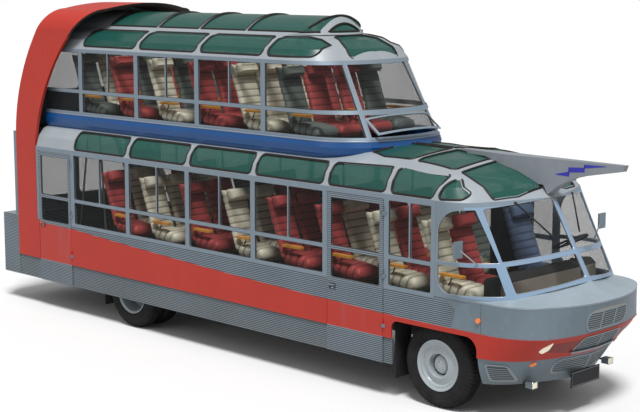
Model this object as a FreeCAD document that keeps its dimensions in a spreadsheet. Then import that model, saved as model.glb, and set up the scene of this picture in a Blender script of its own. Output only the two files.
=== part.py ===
"""Double-decker observation bus with a glazed upper deck, modelled in millimetres.

Frame: +X forward, +Y to the bus's left, +Z up, origin on the ground under the middle.
"""
import FreeCAD, Part
import math
import os
import re
from collections import namedtuple

import Sketcher
from FreeCAD import Placement, Rotation, Vector

# ---------------------------------------------------------------- driving sizes
SIZES = [
    # word, millimetres (or a count), what it is
    ("half_width", 1195, "centre plane to the outer skin"),
    ("wall", 30, "thickness of side walls, doors and frames"),
    ("sheet_metal", 20, "thickness of nose, skirt and band panels"),
    ("pane", 6, "thickness of every window pane"),
    ("pane_depth", 12, "skin to the outside of a pane"),
    ("door_gap", 8, "gap round each door"),
    ("fit", 0.3, "clearance between pieces that seat in each other"),
    # heights
    ("skirt_low", 425, "bottom edge of the skirts"),
    ("band_low", 745, "bottom edge of the red band"),
    ("band_high_front", 1022, "top edge of the red band at the front"),
    ("band_high_mid", 1139, "top edge of the red band half way"),
    ("band_high_rear", 1350, "top edge of the red band at the rear"),
    ("waist", 1330, "bottom of the lower windows"),
    ("shelf_high", 1383, "edge of the shelf under the windscreen"),
    ("rail_mid", 1720, "middle rail of the lower windows"),
    ("window_high", 2440, "top of the lower windows"),
    ("cove_high", 2730, "top of the lower roof's side panes"),
    ("floor_upper", 2740, "top of the upper floor"),
    ("deck_rail", 2985, "bottom of the upper windows"),
    ("deck_mid", 3315, "middle rail of the upper windows"),
    ("deck_high", 3935, "top of the upper windows"),
    ("ridge", 4235, "rail between upper roof panes and hump"),
    ("hump_high", 4480, "top of the glazed hump"),
    ("hoop_high", 4600, "top of the rear hoop"),
    # along the bus
    ("first_post", -3380, "rearmost window post"),
    ("bay", 1300, "distance from post to post"),
    ("bay_count", 4, "equal window bays"),
    ("front_door_width", 917.5, "width of the two front doors"),
    ("rear_door_width", 800, "width of the rear door"),
    ("front_window", 730, "front door to the windscreen's rear edge"),
    ("nose_reach", 1680, "windscreen's rear edge to the nose's tip"),
    ("rear_bay", 920, "rearmost post to the hoop"),
    ("hoop_width", 500, "width of the hoop on the sides"),
    ("back_depth", 160, "how far the back wall stands behind the hoop"),
    ("luggage_length", 450, "hoop to the end of the luggage box"),
    ("bumper_depth", 24, "depth of the rear bumper"),
    ("axle_ahead", 30, "windscreen's rear edge to the front axle"),
    ("axle_behind", 1210, "rearmost post to the rear axle"),
    # wheels and frame
    ("wheel_radius", 510, "outside radius of a tyre"),
    ("tyre_width", 250, "width of a tyre"),
    ("wheel_inset", 105, "skin to the outside of a tyre"),
    ("twin_gap", 50, "gap between twin tyres"),
    ("rim_radius", 305, "outside radius of a rim"),
    ("stub_radius", 45.7, "radius of spindles and axle ends"),
    ("pin_inset", 205, "middle of a front wheel to its steering pin"),
    ("arch_gap_rear", 110, "front tyre to the rear edge of its arch"),
    ("arch_gap_front", 150, "front tyre to the front edge of its arch"),
    ("arch_high", 965, "top of the front wheel arch"),
    ("wheel_room", 20, "top of the tyres to the floor's underside"),
    ("floor_thick", 40, "thickness of the lower floor"),
    ("rail_width", 80, "width of a chassis rail"),
    ("rail_depth", 180, "height of a chassis rail"),
    ("frame_gap", 60, "inner tyre to chassis rail"),
    # frame members
    ("post_width", 85, "width of a window post"),
    ("rail_height", 50, "height of a window rail"),
    ("divider", 22, "width of a thin window divider"),
    ("rib", 45, "half width of a roof rib"),
    # upper deck
    ("deck_inset", 195, "lower skin to upper skin"),
    ("deck_reach", 360, "foremost post to the tip of the upper deck"),
    ("ridge_inset", 400, "upper skin to the side of the hump"),
    # seats
    ("seat_pitch", 870, "distance between seat rows"),
    ("seat_clear", 119, "lower skin to the outer seats"),
    ("aisle_lower", 380, "clear width between lower seats"),
    ("aisle_upper", 160, "clear width between upper seats"),
    ("seat_high", 400, "floor to cushion top"),
    ("back_high", 1150, "floor to headrest top"),
    ("arm_rise", 95, "cushion top to armrest"),
]

PLACES = [
    # word, formula in words of the sheet or of this table, what it is
    ("last_post", "first_post + bay * bay_count", "foremost equal post"),
    ("door_rear", "last_post + post_width / 2", "rear edge of the front doors"),
    ("door_front", "door_rear + front_door_width", "front edge of the front doors"),
    ("front_pillar", "door_front + front_window", "rear edge of the windscreen"),
    ("nose_tip", "front_pillar + nose_reach", "front of the nose at its shelf"),
    ("deck_tip", "last_post + deck_reach", "front of the upper deck at its sill"),
    ("hoop_front", "first_post - rear_bay", "front edge of the hoop on the sides"),
    ("hoop_rear", "hoop_front - hoop_width", "rear edge of the hoop on the sides"),
    ("deck_tail", "hoop_front + 50", "rear end of the upper deck"),
    ("back_face", "hoop_rear - back_depth", "outside of the back wall"),
    ("tail", "hoop_rear - luggage_length", "rear end of the luggage box"),
    ("front_axle_place", "front_pillar + axle_ahead", "front axle"),
    ("rear_axle_place", "first_post + axle_behind", "rear axle"),
    ("arch_rear", "front_axle_place - wheel_radius - arch_gap_rear", "rear of the arch"),
    ("arch_front", "front_axle_place + wheel_radius + arch_gap_front", "front of the arch"),
    ("wheel_middle", "half_width - wheel_inset - tyre_width / 2", "middle of an outer tyre"),
    ("twin_middle", "wheel_middle - tyre_width - twin_gap", "middle of an inner twin tyre"),
    ("kingpin", "wheel_middle - pin_inset", "centre plane to a steering pin"),
    ("rail_outer", "twin_middle - tyre_width / 2 - frame_gap", "outside of a chassis rail"),
    ("rail_middle", "rail_outer - rail_width / 2", "middle of a chassis rail"),
    ("frame_low", "wheel_radius + 110", "underside of the chassis rails"),
    ("frame_high", "frame_low + rail_depth", "top of the chassis rails"),
    ("floor_under", "2 * wheel_radius + wheel_room", "underside of the lower floor"),
    ("floor_lower", "floor_under + floor_thick", "top of the lower floor"),
    ("inside_half", "half_width - 4 - wall", "centre plane to the inside of the walls"),
    ("deck_half", "half_width - deck_inset", "centre plane to the upper skin"),
    ("hump_half", "deck_half - ridge_inset", "centre plane to the side of the hump"),
    ("seat_edge_lower", "half_width - seat_clear", "centre plane to the lower outer seats"),
    ("seat_edge_upper", "deck_half - wall - 25", "centre plane to the upper outer seats"),
]

doc = FreeCAD.newDocument("double_decker_bus")
sheet = doc.addObject("Spreadsheet::Sheet", "Sizes")
for row, (word, number, meaning) in enumerate(SIZES, start=1):
    sheet.set(f"A{row}", meaning)
    sheet.set(f"B{row}", str(number))
    sheet.setAlias(f"B{row}", word)
doc.recompute()

FORMULAS = {word: formula for word, formula, meaning in PLACES}


def expand(formula, prefix=""):
    """A formula with every place worked out into words of the sheet."""
    def swap(match):
        word = match.group(0)
        if word in FORMULAS:
            return f"({expand(FORMULAS[word], prefix)})"
        return prefix + word
    return re.sub(r"[a-z][a-z_]{2,}", swap, str(formula))


class Words:
    """Reads a size or a place by its word, as a float in millimetres."""

    def __init__(self):
        self.known = {}

    def __getattr__(self, word):
        if word not in self.known:
            self.known[word] = float(sheet.evalExpression(expand(word)))
        return self.known[word]


s = Words()
nodes = {}
SIDES = ((-1, "right"), (1, "left"))
FAR = 6000


# ---------------------------------------------------------------- parametric helpers
def bind(thing, prop, formula):
    """Tie a property to words of the sheet."""
    thing.setExpression(prop, expand(formula, "Sizes."))


def keep(name, thing):
    """Name a document object as a sub-part."""
    thing.Label = name
    nodes[name] = thing
    return thing


def span(side, low, high):
    """Low and high formulas across the bus, swapped and negated on the right."""
    return (low, high) if side > 0 else (f"-({high})", f"-({low})")


def box(name, span_x, span_y, span_z):
    """Part::Box between low and high, each a formula."""
    solid = doc.addObject("Part::Box", name)
    spans = (("x", "Length", span_x), ("y", "Width", span_y), ("z", "Height", span_z))
    for axis, side, (low, high) in spans:
        bind(solid, side, f"({high}) - ({low})")
        bind(solid, f"Placement.Base.{axis}", low)
    return solid


TURNS = {
    "x": Rotation(Vector(0, 1, 0), 90),
    "y": Rotation(Vector(1, 0, 0), -90),
    "z": Rotation(),
}


def rod(name, radius, along, start, length):
    """Part::Cylinder along an axis from start (x, y, z), all formulas."""
    solid = doc.addObject("Part::Cylinder", name)
    bind(solid, "Radius", radius)
    bind(solid, "Height", length)
    solid.Placement = Placement(Vector(0, 0, 0), TURNS[along])
    for axis, formula in zip("xyz", start):
        bind(solid, f"Placement.Base.{axis}", formula)
    return solid


def fuse(name, things):
    """Part::MultiFuse of pieces that overlap."""
    fused = doc.addObject("Part::MultiFuse", name)
    fused.Shapes = things
    return fused


def cut(name, base, tool):
    """Part::Cut of a tool from a base."""
    result = doc.addObject("Part::Cut", name)
    result.Base = base
    result.Tool = tool
    return result


def gather(name, things):
    """Keep pieces that don't touch together in one sub-part."""
    group = doc.addObject("Part::Compound", name)
    group.Links = things
    return keep(name, group)


def profile(body, name, role, outline):
    """Closed sketch on an origin plane; each corner is a pair of formulas."""
    sketch = body.newObject("Sketcher::SketchObject", name)
    plane = [feature for feature in body.Origin.OriginFeatures if feature.Role == role][0]
    sketch.AttachmentSupport = [(plane, "")]
    sketch.MapMode = "FlatFace"
    corners = []
    for across, up in outline:
        values = [float(sheet.evalExpression(expand(formula))) for formula in (across, up)]
        corners.append(Vector(values[0], values[1], 0))
    count = len(corners)
    for index in range(count):
        sketch.addGeometry(Part.LineSegment(corners[index], corners[(index + 1) % count]), False)
    for index in range(count):
        sketch.addConstraint(Sketcher.Constraint("Coincident", index, 2, (index + 1) % count, 1))
    for index, (across, up) in enumerate(outline):
        for kind, formula, value in (
                ("DistanceX", across, corners[index].x), ("DistanceY", up, corners[index].y)):
            number = sketch.addConstraint(Sketcher.Constraint(kind, -1, 1, index, 1, value))
            bind(sketch, f"Constraints[{number}]", formula)
    return sketch


def put(thing, turn, place):
    """Place a body: a rotation and three bound coordinates."""
    thing.Placement = Placement(Vector(0, 0, 0), turn)
    for axis, formula in zip("xyz", place):
        bind(thing, f"Placement.Base.{axis}", formula)
    return thing


def turned(name, outline, side, place):
    """Body of revolution about a wheel axis; outline is (outward, radius) formulas."""
    body = doc.addObject("PartDesign::Body", name)
    sketch = profile(body, f"{name}_profile", "XZ_Plane", outline)
    turn = body.newObject("PartDesign::Revolution", f"{name}_turn")
    turn.Profile = sketch
    turn.ReferenceAxis = (sketch, ["H_Axis"])
    turn.Angle = 360
    return put(body, Rotation(Vector(0, 0, 1), 90 * side), place)


def slab(name, outline, width, middle):
    """Padded body across the bus, its side outline in (x, z) formulas."""
    body = doc.addObject("PartDesign::Body", name)
    sketch = profile(body, f"{name}_profile", "XZ_Plane", outline)
    pad = body.newObject("PartDesign::Pad", f"{name}_pad")
    pad.Profile = sketch
    bind(pad, "Length", width)
    pad.Midplane = True
    return put(body, Rotation(), ("0", middle, "0"))


# ---------------------------------------------------------------- shape helpers
def shape_node(name, shape):
    """Sub-part whose shape is worked out in code."""
    feature = doc.addObject("Part::Feature", name)
    feature.Shape = shape
    return keep(name, feature)


def block(x, y, z):
    """Solid box between (low, high) numbers."""
    return Part.makeBox(x[1] - x[0], y[1] - y[0], z[1] - z[0], Vector(x[0], y[0], z[0]))


def across(x, z):
    """Box over the whole width of the bus."""
    return block(x, (-FAR, FAR), z)


def mirrored(shape):
    """The same shape on the other side of the bus."""
    return shape.mirror(Vector(0, 0, 0), Vector(0, 1, 0))


def both(shapes):
    """Shapes and their mirror images."""
    return list(shapes) + [mirrored(shape) for shape in shapes]


def union(shapes):
    """One shape from pieces that overlap."""
    return shapes[0].fuse(shapes[1:])


def solids_of(*shapes):
    """Compound of the solids of some shapes, without stray faces."""
    return Part.Compound([solid for shape in shapes for solid in shape.Solids])


def rounded_face(points, radii):
    """Face of a polygon; radii holds one corner radius for all, or one each."""
    count = len(points)
    if not isinstance(radii, (list, tuple)):
        radii = [radii] * count
    arcs = []
    for index, corner in enumerate(points):
        to_last = (points[index - 1] - corner).normalize()
        to_next = (points[(index + 1) % count] - corner).normalize()
        opening = to_last.getAngle(to_next)
        length = radii[index] / math.tan(opening / 2)
        depth = radii[index] / math.sin(opening / 2) - radii[index]
        middle = corner + (to_last + to_next).normalize() * depth
        arcs.append((corner + to_last * length, middle, corner + to_next * length))
    edges = []
    for index, (start, middle, end) in enumerate(arcs):
        if radii[index] > 0:
            edges.append(Part.Arc(start, middle, end).toShape())
        following = arcs[(index + 1) % count][0]
        if end.distanceToPoint(following) > 0.01:
            edges.append(Part.makeLine(end, following))
    return Part.Face(Part.Wire(edges))


def side_prism(outline, y_from, y_to, radii=0):
    """Prism across the bus from an outline of (x, z) points."""
    face = rounded_face([Vector(x, y_from, z) for x, z in outline], radii)
    return face.extrude(Vector(0, y_to - y_from, 0))


def front_prism(outline, x_from, x_to, radii=0):
    """Prism along the bus from an outline of (y, z) points."""
    face = rounded_face([Vector(x_from, y, z) for y, z in outline], radii)
    return face.extrude(Vector(x_to - x_from, 0, 0))


def plan_prism(outline, z_from, z_to, radii=0):
    """Vertical prism from an outline of (x, y) points."""
    face = rounded_face([Vector(x, y, z_from) for x, y in outline], radii)
    return face.extrude(Vector(0, 0, z_to - z_from))


# Plan outline of the bus's front at one height: straight sides up to side_end, an arc to the
# corner, and a bowed front whose middle stands bow ahead of the straight line to the tip.
Plan = namedtuple("Plan", "height rear half side_end corner_x corner_y tip bow")


def plan_wire(plan, inset=0):
    """Closed wire of a plan outline, moved in by inset."""
    half = plan.half - inset
    side_end = plan.side_end - inset / 2
    corner = (plan.corner_x - inset * 0.8, plan.corner_y - inset * 0.6)
    tip = plan.tip - inset
    run = corner[0] - side_end
    fall = half - corner[1]
    radius = (run ** 2 + fall ** 2) / (2 * fall)
    sweep = math.asin(min(1, run / radius)) / 2
    mid_corner = (side_end + radius * math.sin(sweep), half - radius * (1 - math.cos(sweep)))
    mid_front = ((corner[0] + tip) / 2 + plan.bow, corner[1] / 2)
    turns = [((side_end, half), mid_corner, corner), (corner, mid_front, (tip, 0))]
    height = plan.height
    edges = [Part.makeLine(Vector(plan.rear, -half, height), Vector(side_end, -half, height))]
    for start, middle, end in turns:
        points = [Vector(x, -y, height) for x, y in (start, middle, end)]
        edges.append(Part.Arc(*points).toShape())
    for start, middle, end in reversed(turns):
        points = [Vector(x, y, height) for x, y in (end, middle, start)]
        edges.append(Part.Arc(*points).toShape())
    edges.append(Part.makeLine(Vector(side_end, half, height), Vector(plan.rear, half, height)))
    edges.append(Part.makeLine(Vector(plan.rear, half, height), Vector(plan.rear, -half, height)))
    return Part.Wire(edges)


def plan_loft(plans, inset=0):
    """Solid through plan outlines, with straight walls from one to the next."""
    return Part.makeLoft([plan_wire(plan, inset) for plan in plans], True, True)


def raised(plans, low=0, high=0):
    """The same outlines with the lowest moved down and the highest moved up."""
    first = plans[0]._replace(height=plans[0].height - low)
    last = plans[-1]._replace(height=plans[-1].height + high)
    return [first] + plans[1:-1] + [last]


def plan_wall(plans, outer, inner):
    """Open-ended wall between two insets of the same loft."""
    core = [plan._replace(rear=plan.rear - 50) for plan in raised(plans, 1, 1)]
    return plan_loft(plans, outer).cut(plan_loft(core, inner))


# ---------------------------------------------------------------- chassis
CROSSMEMBERS = ("hoop_rear + 60", "first_post + 80", "last_post - 2820", "last_post - 1220",
                "last_post + 380", "front_axle_place - 440", "front_axle_place + 260")

SPRING = (
    # x from the axle, top or underside, formulas; the middle rests on the axle
    ("-560", "frame_low - 30"),
    ("-60", "{seat}"),
    ("60", "{seat}"),
    ("560", "frame_low - 30"),
    ("560", "frame_low"),
    ("60", "{seat} + 35"),
    ("-60", "{seat} + 35"),
    ("-560", "frame_low"),
)


def build_chassis():
    """Ladder frame, axles on leaf springs, and the engine block on two crossmembers."""
    rails = []
    for side, word in SIDES:
        y = span(side, "rail_outer - rail_width", "rail_outer")
        rails.append(box(f"rail_{word}", ("hoop_rear + 20", "nose_tip - 890"), y,
                         ("frame_low", "frame_high")))
    inner = "rail_outer - rail_width + 10"
    for number, place in enumerate(CROSSMEMBERS):
        rails.append(box(f"crossmember_{number}", (place, f"{place} + 90"), (f"-({inner})", inner),
                         ("frame_low + 40", "frame_high - 40")))
    keep("chassis_frame", fuse("chassis_frame", rails))
    keep("engine", box("engine", ("front_axle_place - 540", "front_axle_place + 460"),
                       ("-330", "330"), ("frame_high - 40", "floor_under - 5")))
    springs = []
    for axle, seat in (("front_axle_place", "wheel_radius - 10"), ("rear_axle_place", "wheel_radius + 75")):
        for side, word in SIDES:
            outline = [(f"{axle} + {x}", z.format(seat=seat)) for x, z in SPRING]
            middle = "rail_middle" if side > 0 else "-(rail_middle)"
            springs.append(slab(f"spring_{axle[:5]}_{word}", outline, "70", middle))
    gather("leaf_springs", springs)


def build_axles():
    """Forged front beam between the steering pins and the rear casing."""
    x = ("front_axle_place - 40", "front_axle_place + 40")
    pieces = [box("beam", x, ("-(kingpin) + 60", "kingpin - 60"), ("wheel_radius - 90", "wheel_radius - 10"))]
    for side, word in SIDES:
        pin = "kingpin" if side > 0 else "-(kingpin)"
        pieces.append(box(f"beam_end_{word}", x, span(side, "kingpin - 100", "kingpin"),
                          ("wheel_radius - 70", "wheel_radius + 70")))
        pieces.append(rod(f"pin_boss_{word}", "45", "z",
                          ("front_axle_place", pin, "wheel_radius - 80 + fit"), "160 - 2 * fit"))
    keep("front_axle", fuse("front_axle", pieces))
    hub_end = "twin_middle - tyre_width / 2 - 20"
    stub_end = "wheel_middle - 60"
    bowl = doc.addObject("Part::Sphere", "bowl")
    bowl.Radius = 190
    put(bowl, Rotation(), ("rear_axle_place", "0", "wheel_radius"))
    tube = rod("tube", "75", "y", ("rear_axle_place", f"-({hub_end})", "wheel_radius"), f"2 * ({hub_end})")
    stub = rod("stub", "stub_radius", "y", ("rear_axle_place", f"-({stub_end})", "wheel_radius"),
               f"2 * ({stub_end})")
    keep("rear_axle", fuse("rear_axle", [tube, bowl, stub]))


# ---------------------------------------------------------------- wheels
# Wheel profiles are (outward from the wheel's middle, radius), both formulas.
TYRE = (
    ("-tyre_width / 2 + 30", "rim_radius - 15"),
    ("-tyre_width / 2", "wheel_radius - 115"),
    ("-tyre_width / 2 + 10", "wheel_radius - 45"),
    ("-tyre_width / 2 + 42", "wheel_radius - 6"),
    ("-tyre_width / 2 + 75", "wheel_radius"),
    ("tyre_width / 2 - 75", "wheel_radius"),
    ("tyre_width / 2 - 42", "wheel_radius - 6"),
    ("tyre_width / 2 - 10", "wheel_radius - 45"),
    ("tyre_width / 2", "wheel_radius - 115"),
    ("tyre_width / 2 - 30", "rim_radius - 15"),
)

BARREL = (
    # outer lip and the seat of the tyre, common to every rim
    ("tyre_width / 2 - 6", "rim_radius - 7"),
    ("tyre_width / 2 - 6", "rim_radius"),
    ("tyre_width / 2 - 22", "rim_radius"),
    ("tyre_width / 2 - 26", "rim_radius - 15 - fit"),
)

FRONT_RIM = BARREL + (
    ("-tyre_width / 2 + 65", "rim_radius - 15 - fit"),
    ("-tyre_width / 2 + 65", "rim_radius - 30"),
    ("tyre_width / 2 - 33", "rim_radius - 30"),
    ("tyre_width / 2 - 49", "rim_radius - 61"),
    ("tyre_width / 2 - 55", "rim_radius - 77"),
    ("tyre_width / 2 - 37", "156"),
    ("20", "150"),
    ("20", "90"),
    ("-75", "90"),
    ("-75", "stub_radius + fit"),
    ("15", "stub_radius + fit"),
    ("15", "0"),
    ("75", "0"),
    ("72", "45"),
    ("60", "90"),
    ("35", "98"),
    ("35", "138"),
    ("tyre_width / 2 - 25", "141"),
    ("tyre_width / 2 - 21", "152"),
    ("tyre_width / 2 - 41", "rim_radius - 73"),
    ("tyre_width / 2 - 33", "rim_radius - 67"),
)

TWIN_OUTER_RIM = BARREL + (
    ("-tyre_width / 2 + 6", "rim_radius - 15 - fit"),
    ("-tyre_width / 2 + 6", "stub_radius + fit"),
    ("-55", "stub_radius + fit"),
    ("-55", "0"),
    ("-25", "0"),
    ("-25", "60"),
    ("-40", "95"),
    ("-tyre_width / 2 + 21", "110"),
    ("-tyre_width / 2 + 21", "rim_radius - 30"),
    ("tyre_width / 2 - 25", "rim_radius - 30"),
)

TWIN_INNER_RIM = (
    ("-tyre_width / 2 + 30", "rim_radius - 15 - fit"),
    ("-tyre_width / 2 + 30", "rim_radius - 30"),
    ("tyre_width / 2 - 21", "rim_radius - 30"),
    ("tyre_width / 2 - 21", "stub_radius + fit"),
    ("tyre_width / 2 + twin_gap + 6", "stub_radius + fit"),
    ("tyre_width / 2 + twin_gap + 6", "130"),
    ("tyre_width / 2 - 6", "130"),
    ("tyre_width / 2 - 6", "rim_radius - 15 - fit"),
)


def build_knuckle(side, word):
    """Fork over the beam's end, web, spindle and steering arm."""
    x = "front_axle_place"
    pin = "kingpin" if side > 0 else "-(kingpin)"
    low = "wheel_radius - 120"
    high = "wheel_radius + 80"
    spindle = span(side, "kingpin + 65", "wheel_middle + 5")
    pieces = [
        rod(f"fork_low_{word}", "48", "z", (x, pin, low), "40"),
        rod(f"fork_high_{word}", "48", "z", (x, pin, high), "40"),
        rod(f"spindle_{word}", "stub_radius", "y", (x, spindle[0], "wheel_radius"),
            f"({spindle[1]}) - ({spindle[0]})"),
        box(f"web_{word}", (f"{x} - 42", f"{x} + 42"), span(side, "kingpin + 52", "kingpin + 85"),
            (low, f"{high} + 40")),
        box(f"lug_low_{word}", (f"{x} - 36", f"{x} + 36"), span(side, "kingpin", "kingpin + 60"),
            (low, f"{low} + 40")),
        box(f"lug_high_{word}", (f"{x} - 36", f"{x} + 36"), span(side, "kingpin", "kingpin + 60"),
            (high, f"{high} + 40")),
        box(f"arm_{word}", (f"{x} - 260", x), span(side, "kingpin + 56", "kingpin + 76"),
            (f"{low} + 10", f"{low} + 35")),
    ]
    keep(f"knuckle_{word}", fuse(f"knuckle_{word}", pieces))


def build_wheels():
    """Steered front wheels on knuckles and twin rear wheels."""
    for side, word in SIDES:
        outer = "wheel_middle" if side > 0 else "-(wheel_middle)"
        inner = "twin_middle" if side > 0 else "-(twin_middle)"
        front = ("front_axle_place", outer, "wheel_radius")
        rear_outer = ("rear_axle_place", outer, "wheel_radius")
        rear_inner = ("rear_axle_place", inner, "wheel_radius")
        keep(f"tyre_front_{word}", turned(f"tyre_front_{word}", TYRE, side, front))
        keep(f"rim_front_{word}", turned(f"rim_front_{word}", FRONT_RIM, side, front))
        build_knuckle(side, word)
        gather(f"tyres_rear_{word}", [
            turned(f"tyre_outer_{word}", TYRE, side, rear_outer),
            turned(f"tyre_inner_{word}", TYRE, side, rear_inner),
        ])
        gather(f"rims_rear_{word}", [
            turned(f"rim_outer_{word}", TWIN_OUTER_RIM, side, rear_outer),
            turned(f"rim_inner_{word}", TWIN_INNER_RIM, side, rear_inner),
        ])


# ---------------------------------------------------------------- body sides
def arch_tool():
    """Opening of both front wheel arches, through skins and skirts."""
    outline = [(s.arch_rear, -10), (s.arch_front, -10), (s.arch_front, s.arch_high), (s.arch_rear, s.arch_high)]
    return side_prism(outline, -FAR, FAR, [0, 0, 160, 90])


# Doors: name, side, rear edge and front edge of the leaf.
Door = namedtuple("Door", "name side rear front")


def doors():
    """Table of the three hinged doors."""
    rear = s.first_post - s.post_width / 2 - 12
    return [
        Door("rear_door", -1, rear - s.rear_door_width, rear),
        Door("front_door", -1, s.door_rear, s.door_front),
        Door("driver_door", 1, s.door_rear, s.door_front),
    ]


def door_tools(side, grow=0):
    """Door openings of one side, grown by the gap."""
    y = sorted((side * (s.half_width - 200), side * (s.half_width + 200)))
    top = s.window_high - s.rail_height + grow
    return [block((door.rear - grow, door.front + grow), y, (s.skirt_low - 100, top))
            for door in doors() if door.side == side]


def band_face():
    """Outline of the red band on a side, in the plane y = 0."""
    step = s.hoop_front - 60
    top_rear = Vector(step, 0, s.band_high_rear)
    top_mid = Vector((s.first_post + s.last_post) / 2 + 260, 0, s.band_high_mid)
    top_front = Vector(s.arch_rear + 140, 0, s.band_high_front)
    corners = [
        top_front,
        Vector(s.arch_front + 5, 0, s.band_high_front),
        Vector(s.arch_front + 5, 0, s.band_low),
        Vector(s.hoop_rear, 0, s.band_low),
        Vector(s.hoop_rear, 0, s.band_high_rear),
        top_rear,
    ]
    lines = [Part.makeLine(a, b) for a, b in zip(corners, corners[1:])]
    return Part.Face(Part.Wire([Part.Arc(top_rear, top_mid, top_front).toShape()] + lines))


def waist_face():
    """Outline of the fluted waist, with its rounded, raked front end."""
    rear = s.hoop_front - 60
    front = s.front_pillar + 368
    outline = [(rear, s.waist), (rear, s.band_low), (front - 140, s.band_low),
               (front, s.waist - 88), (front - 130, s.waist)]
    face = rounded_face([Vector(x, 0, z) for x, z in outline], [0, 0, 0, 20, 90])
    return face


def build_sides():
    """Band, fluted waist panels and skirts on both sides."""
    arch = arch_tool()
    band = band_face().extrude(Vector(0, s.sheet_metal, 0)).translate(Vector(0, -s.half_width, 0))
    under_band = band_face().extrude(Vector(0, FAR, 0)).translate(Vector(0, -FAR, 0))
    waist = waist_face().extrude(Vector(0, s.sheet_metal, 0)).translate(Vector(0, 8 - s.half_width, 0))
    waist = waist.cut(under_band)
    skirt = block((s.hoop_rear, s.arch_rear), (18 - s.half_width, 18 - s.half_width + s.sheet_metal),
                  (s.skirt_low, s.band_low))
    halves = {}
    for label, panel in (("band", band), ("waist", waist), ("skirt", skirt)):
        right = panel.cut(door_tools(-1, s.door_gap) + [arch])
        left = mirrored(panel).cut(door_tools(1, s.door_gap) + [arch])
        halves[label] = right.Solids + left.Solids
    shape_node("red_band", solids_of(nose_band().fuse(halves["band"])))
    shape_node("waist_panels", Part.Compound(halves["waist"]))
    shape_node("skirts", Part.Compound(halves["skirt"]))


def window_openings(posts, low, mid, high, side):
    """Openings between posts: one below the middle rail, two above with a divider."""
    y_low, y_high = sorted((side * (s.half_width - 300), side * (s.half_width + 300)))
    tools = []
    for start, end in zip(posts, posts[1:]):
        left = start + s.post_width / 2
        right = end - s.post_width / 2
        middle = (left + right) / 2
        spans = [
            (left, right, low, mid - s.rail_height / 2),
            (left, middle - s.divider / 2, mid + s.rail_height / 2, high),
            (middle + s.divider / 2, right, mid + s.rail_height / 2, high),
        ]
        for x0, x1, z0, z1 in spans:
            tools.append(side_prism([(x0, z0), (x1, z0), (x1, z1), (x0, z1)], y_low, y_high, 18))
    return tools


def lower_posts():
    """Places of the equal window posts."""
    return [s.first_post + s.bay * index for index in range(int(s.bay_count) + 1)]


def build_lower_frames():
    """Window frames and panes of the lower deck."""
    outer = s.half_width - 4
    low = s.waist + s.rail_height
    high = s.window_high - s.rail_height
    rear = s.hoop_front + 6
    front = s.front_pillar + 60
    frames = []
    panes = []
    for side, word in SIDES:
        y = sorted((side * outer, side * s.inside_half))
        plate = block((rear, front), y, (s.waist + 0.3, s.window_high + 20))
        rows = [lower_posts(), [s.door_front + s.post_width / 2, s.front_pillar + s.post_width / 2]]
        if side > 0:
            rows.append([rear, s.first_post])
        openings = []
        for posts in rows:
            openings += window_openings(posts, low, s.rail_mid, high, side)
        gaps = door_tools(side, s.door_gap)
        band = band_face().extrude(Vector(0, 2 * FAR, 0)).translate(Vector(0, -FAR, 0))
        frames += plate.cut(openings + gaps + [band]).Solids
        y = sorted((side * (s.half_width - s.pane_depth), side * (s.half_width - s.pane_depth - s.pane)))
        sheet_of_glass = block((rear, front), y, (s.waist, s.window_high))
        panes += sheet_of_glass.common(Part.Compound(openings)).cut(gaps).Solids
    shape_node("lower_window_frames", Part.Compound(frames))
    shape_node("lower_window_glass", Part.Compound(panes))


# ---------------------------------------------------------------- nose
# Rows of the nose: half_in and corner_in are measured in from the skin, the lengths back from
# the nose's tip.
NoseRow = namedtuple("NoseRow", "height half_in side_end corner_x corner_in tip bow")

NOSE = {
    "skirt": NoseRow("skirt_low", 30, 1290, 710, 345, 390, 40),
    "band_low": NoseRow("band_low", 0, 990, 470, 325, 250, 45),
    "band_high": NoseRow("band_high_front", 0, 840, 250, 295, 90, 55),
    "shelf": NoseRow("shelf_high", 0, 750, 235, 330, 0, 70),
}


def nose_plans(*words):
    """Plan outlines of the nose at the named rows."""
    plans = []
    for word in words:
        row = NOSE[word]
        plans.append(Plan(
            getattr(s, row.height), s.front_pillar, s.half_width - row.half_in,
            s.nose_tip - row.side_end, s.nose_tip - row.corner_x, s.half_width - row.corner_in,
            s.nose_tip - row.tip, row.bow))
    return plans


def nose_band():
    """Red belt of the nose, ahead of the wheel arches."""
    behind = across((s.front_pillar - 100, s.arch_front + 5), (0, s.band_high_front + 1))
    return plan_wall(nose_plans("band_low", "band_high"), 0, s.sheet_metal).cut([behind, arch_tool()])


def shelf_solid():
    """Sloping top of the nose, from its edge up to the windscreen's foot."""
    edge = nose_plans("shelf")[0]
    top = Plan(edge.height + 182, edge.rear, s.half_width - 635, s.nose_tip - 1010,
               s.nose_tip - 630, 250, s.nose_tip - 320, 15)
    under = [plan._replace(height=plan.height - s.sheet_metal) for plan in (edge, top)]
    return plan_loft([edge, top], 14).cut(plan_loft(under, 14))


def build_nose():
    """Belts of the nose above and below the red one, and the shelf under the windscreen."""
    metal = s.sheet_metal
    behind = across((s.front_pillar - 100, s.arch_front + 6), (0, s.band_high_front))
    low = plan_wall(nose_plans("skirt", "band_low"), 12, 12 + metal).cut([behind, arch_tool()])
    shape_node("nose_lower", solids_of(low))
    beside_doors = across((s.front_pillar - 100, s.front_pillar + 61), (0, 2000))
    high = plan_wall(nose_plans("band_high", "shelf"), 8, 8 + metal)
    shelf = shelf_solid().cut([plan_loft(windscreen_plans(), s.wall + 2), beside_doors])
    waist = waist_face().extrude(Vector(0, 2 * FAR, 0)).translate(Vector(0, -FAR, 0))
    stand = plan_loft(windscreen_plans(), -s.fit).common(windscreen_zone(s.fit))
    skin = high.cut([waist, beside_doors]).fuse(shelf).cut(stand)
    shape_node("nose_upper", solids_of(skin))


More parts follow.
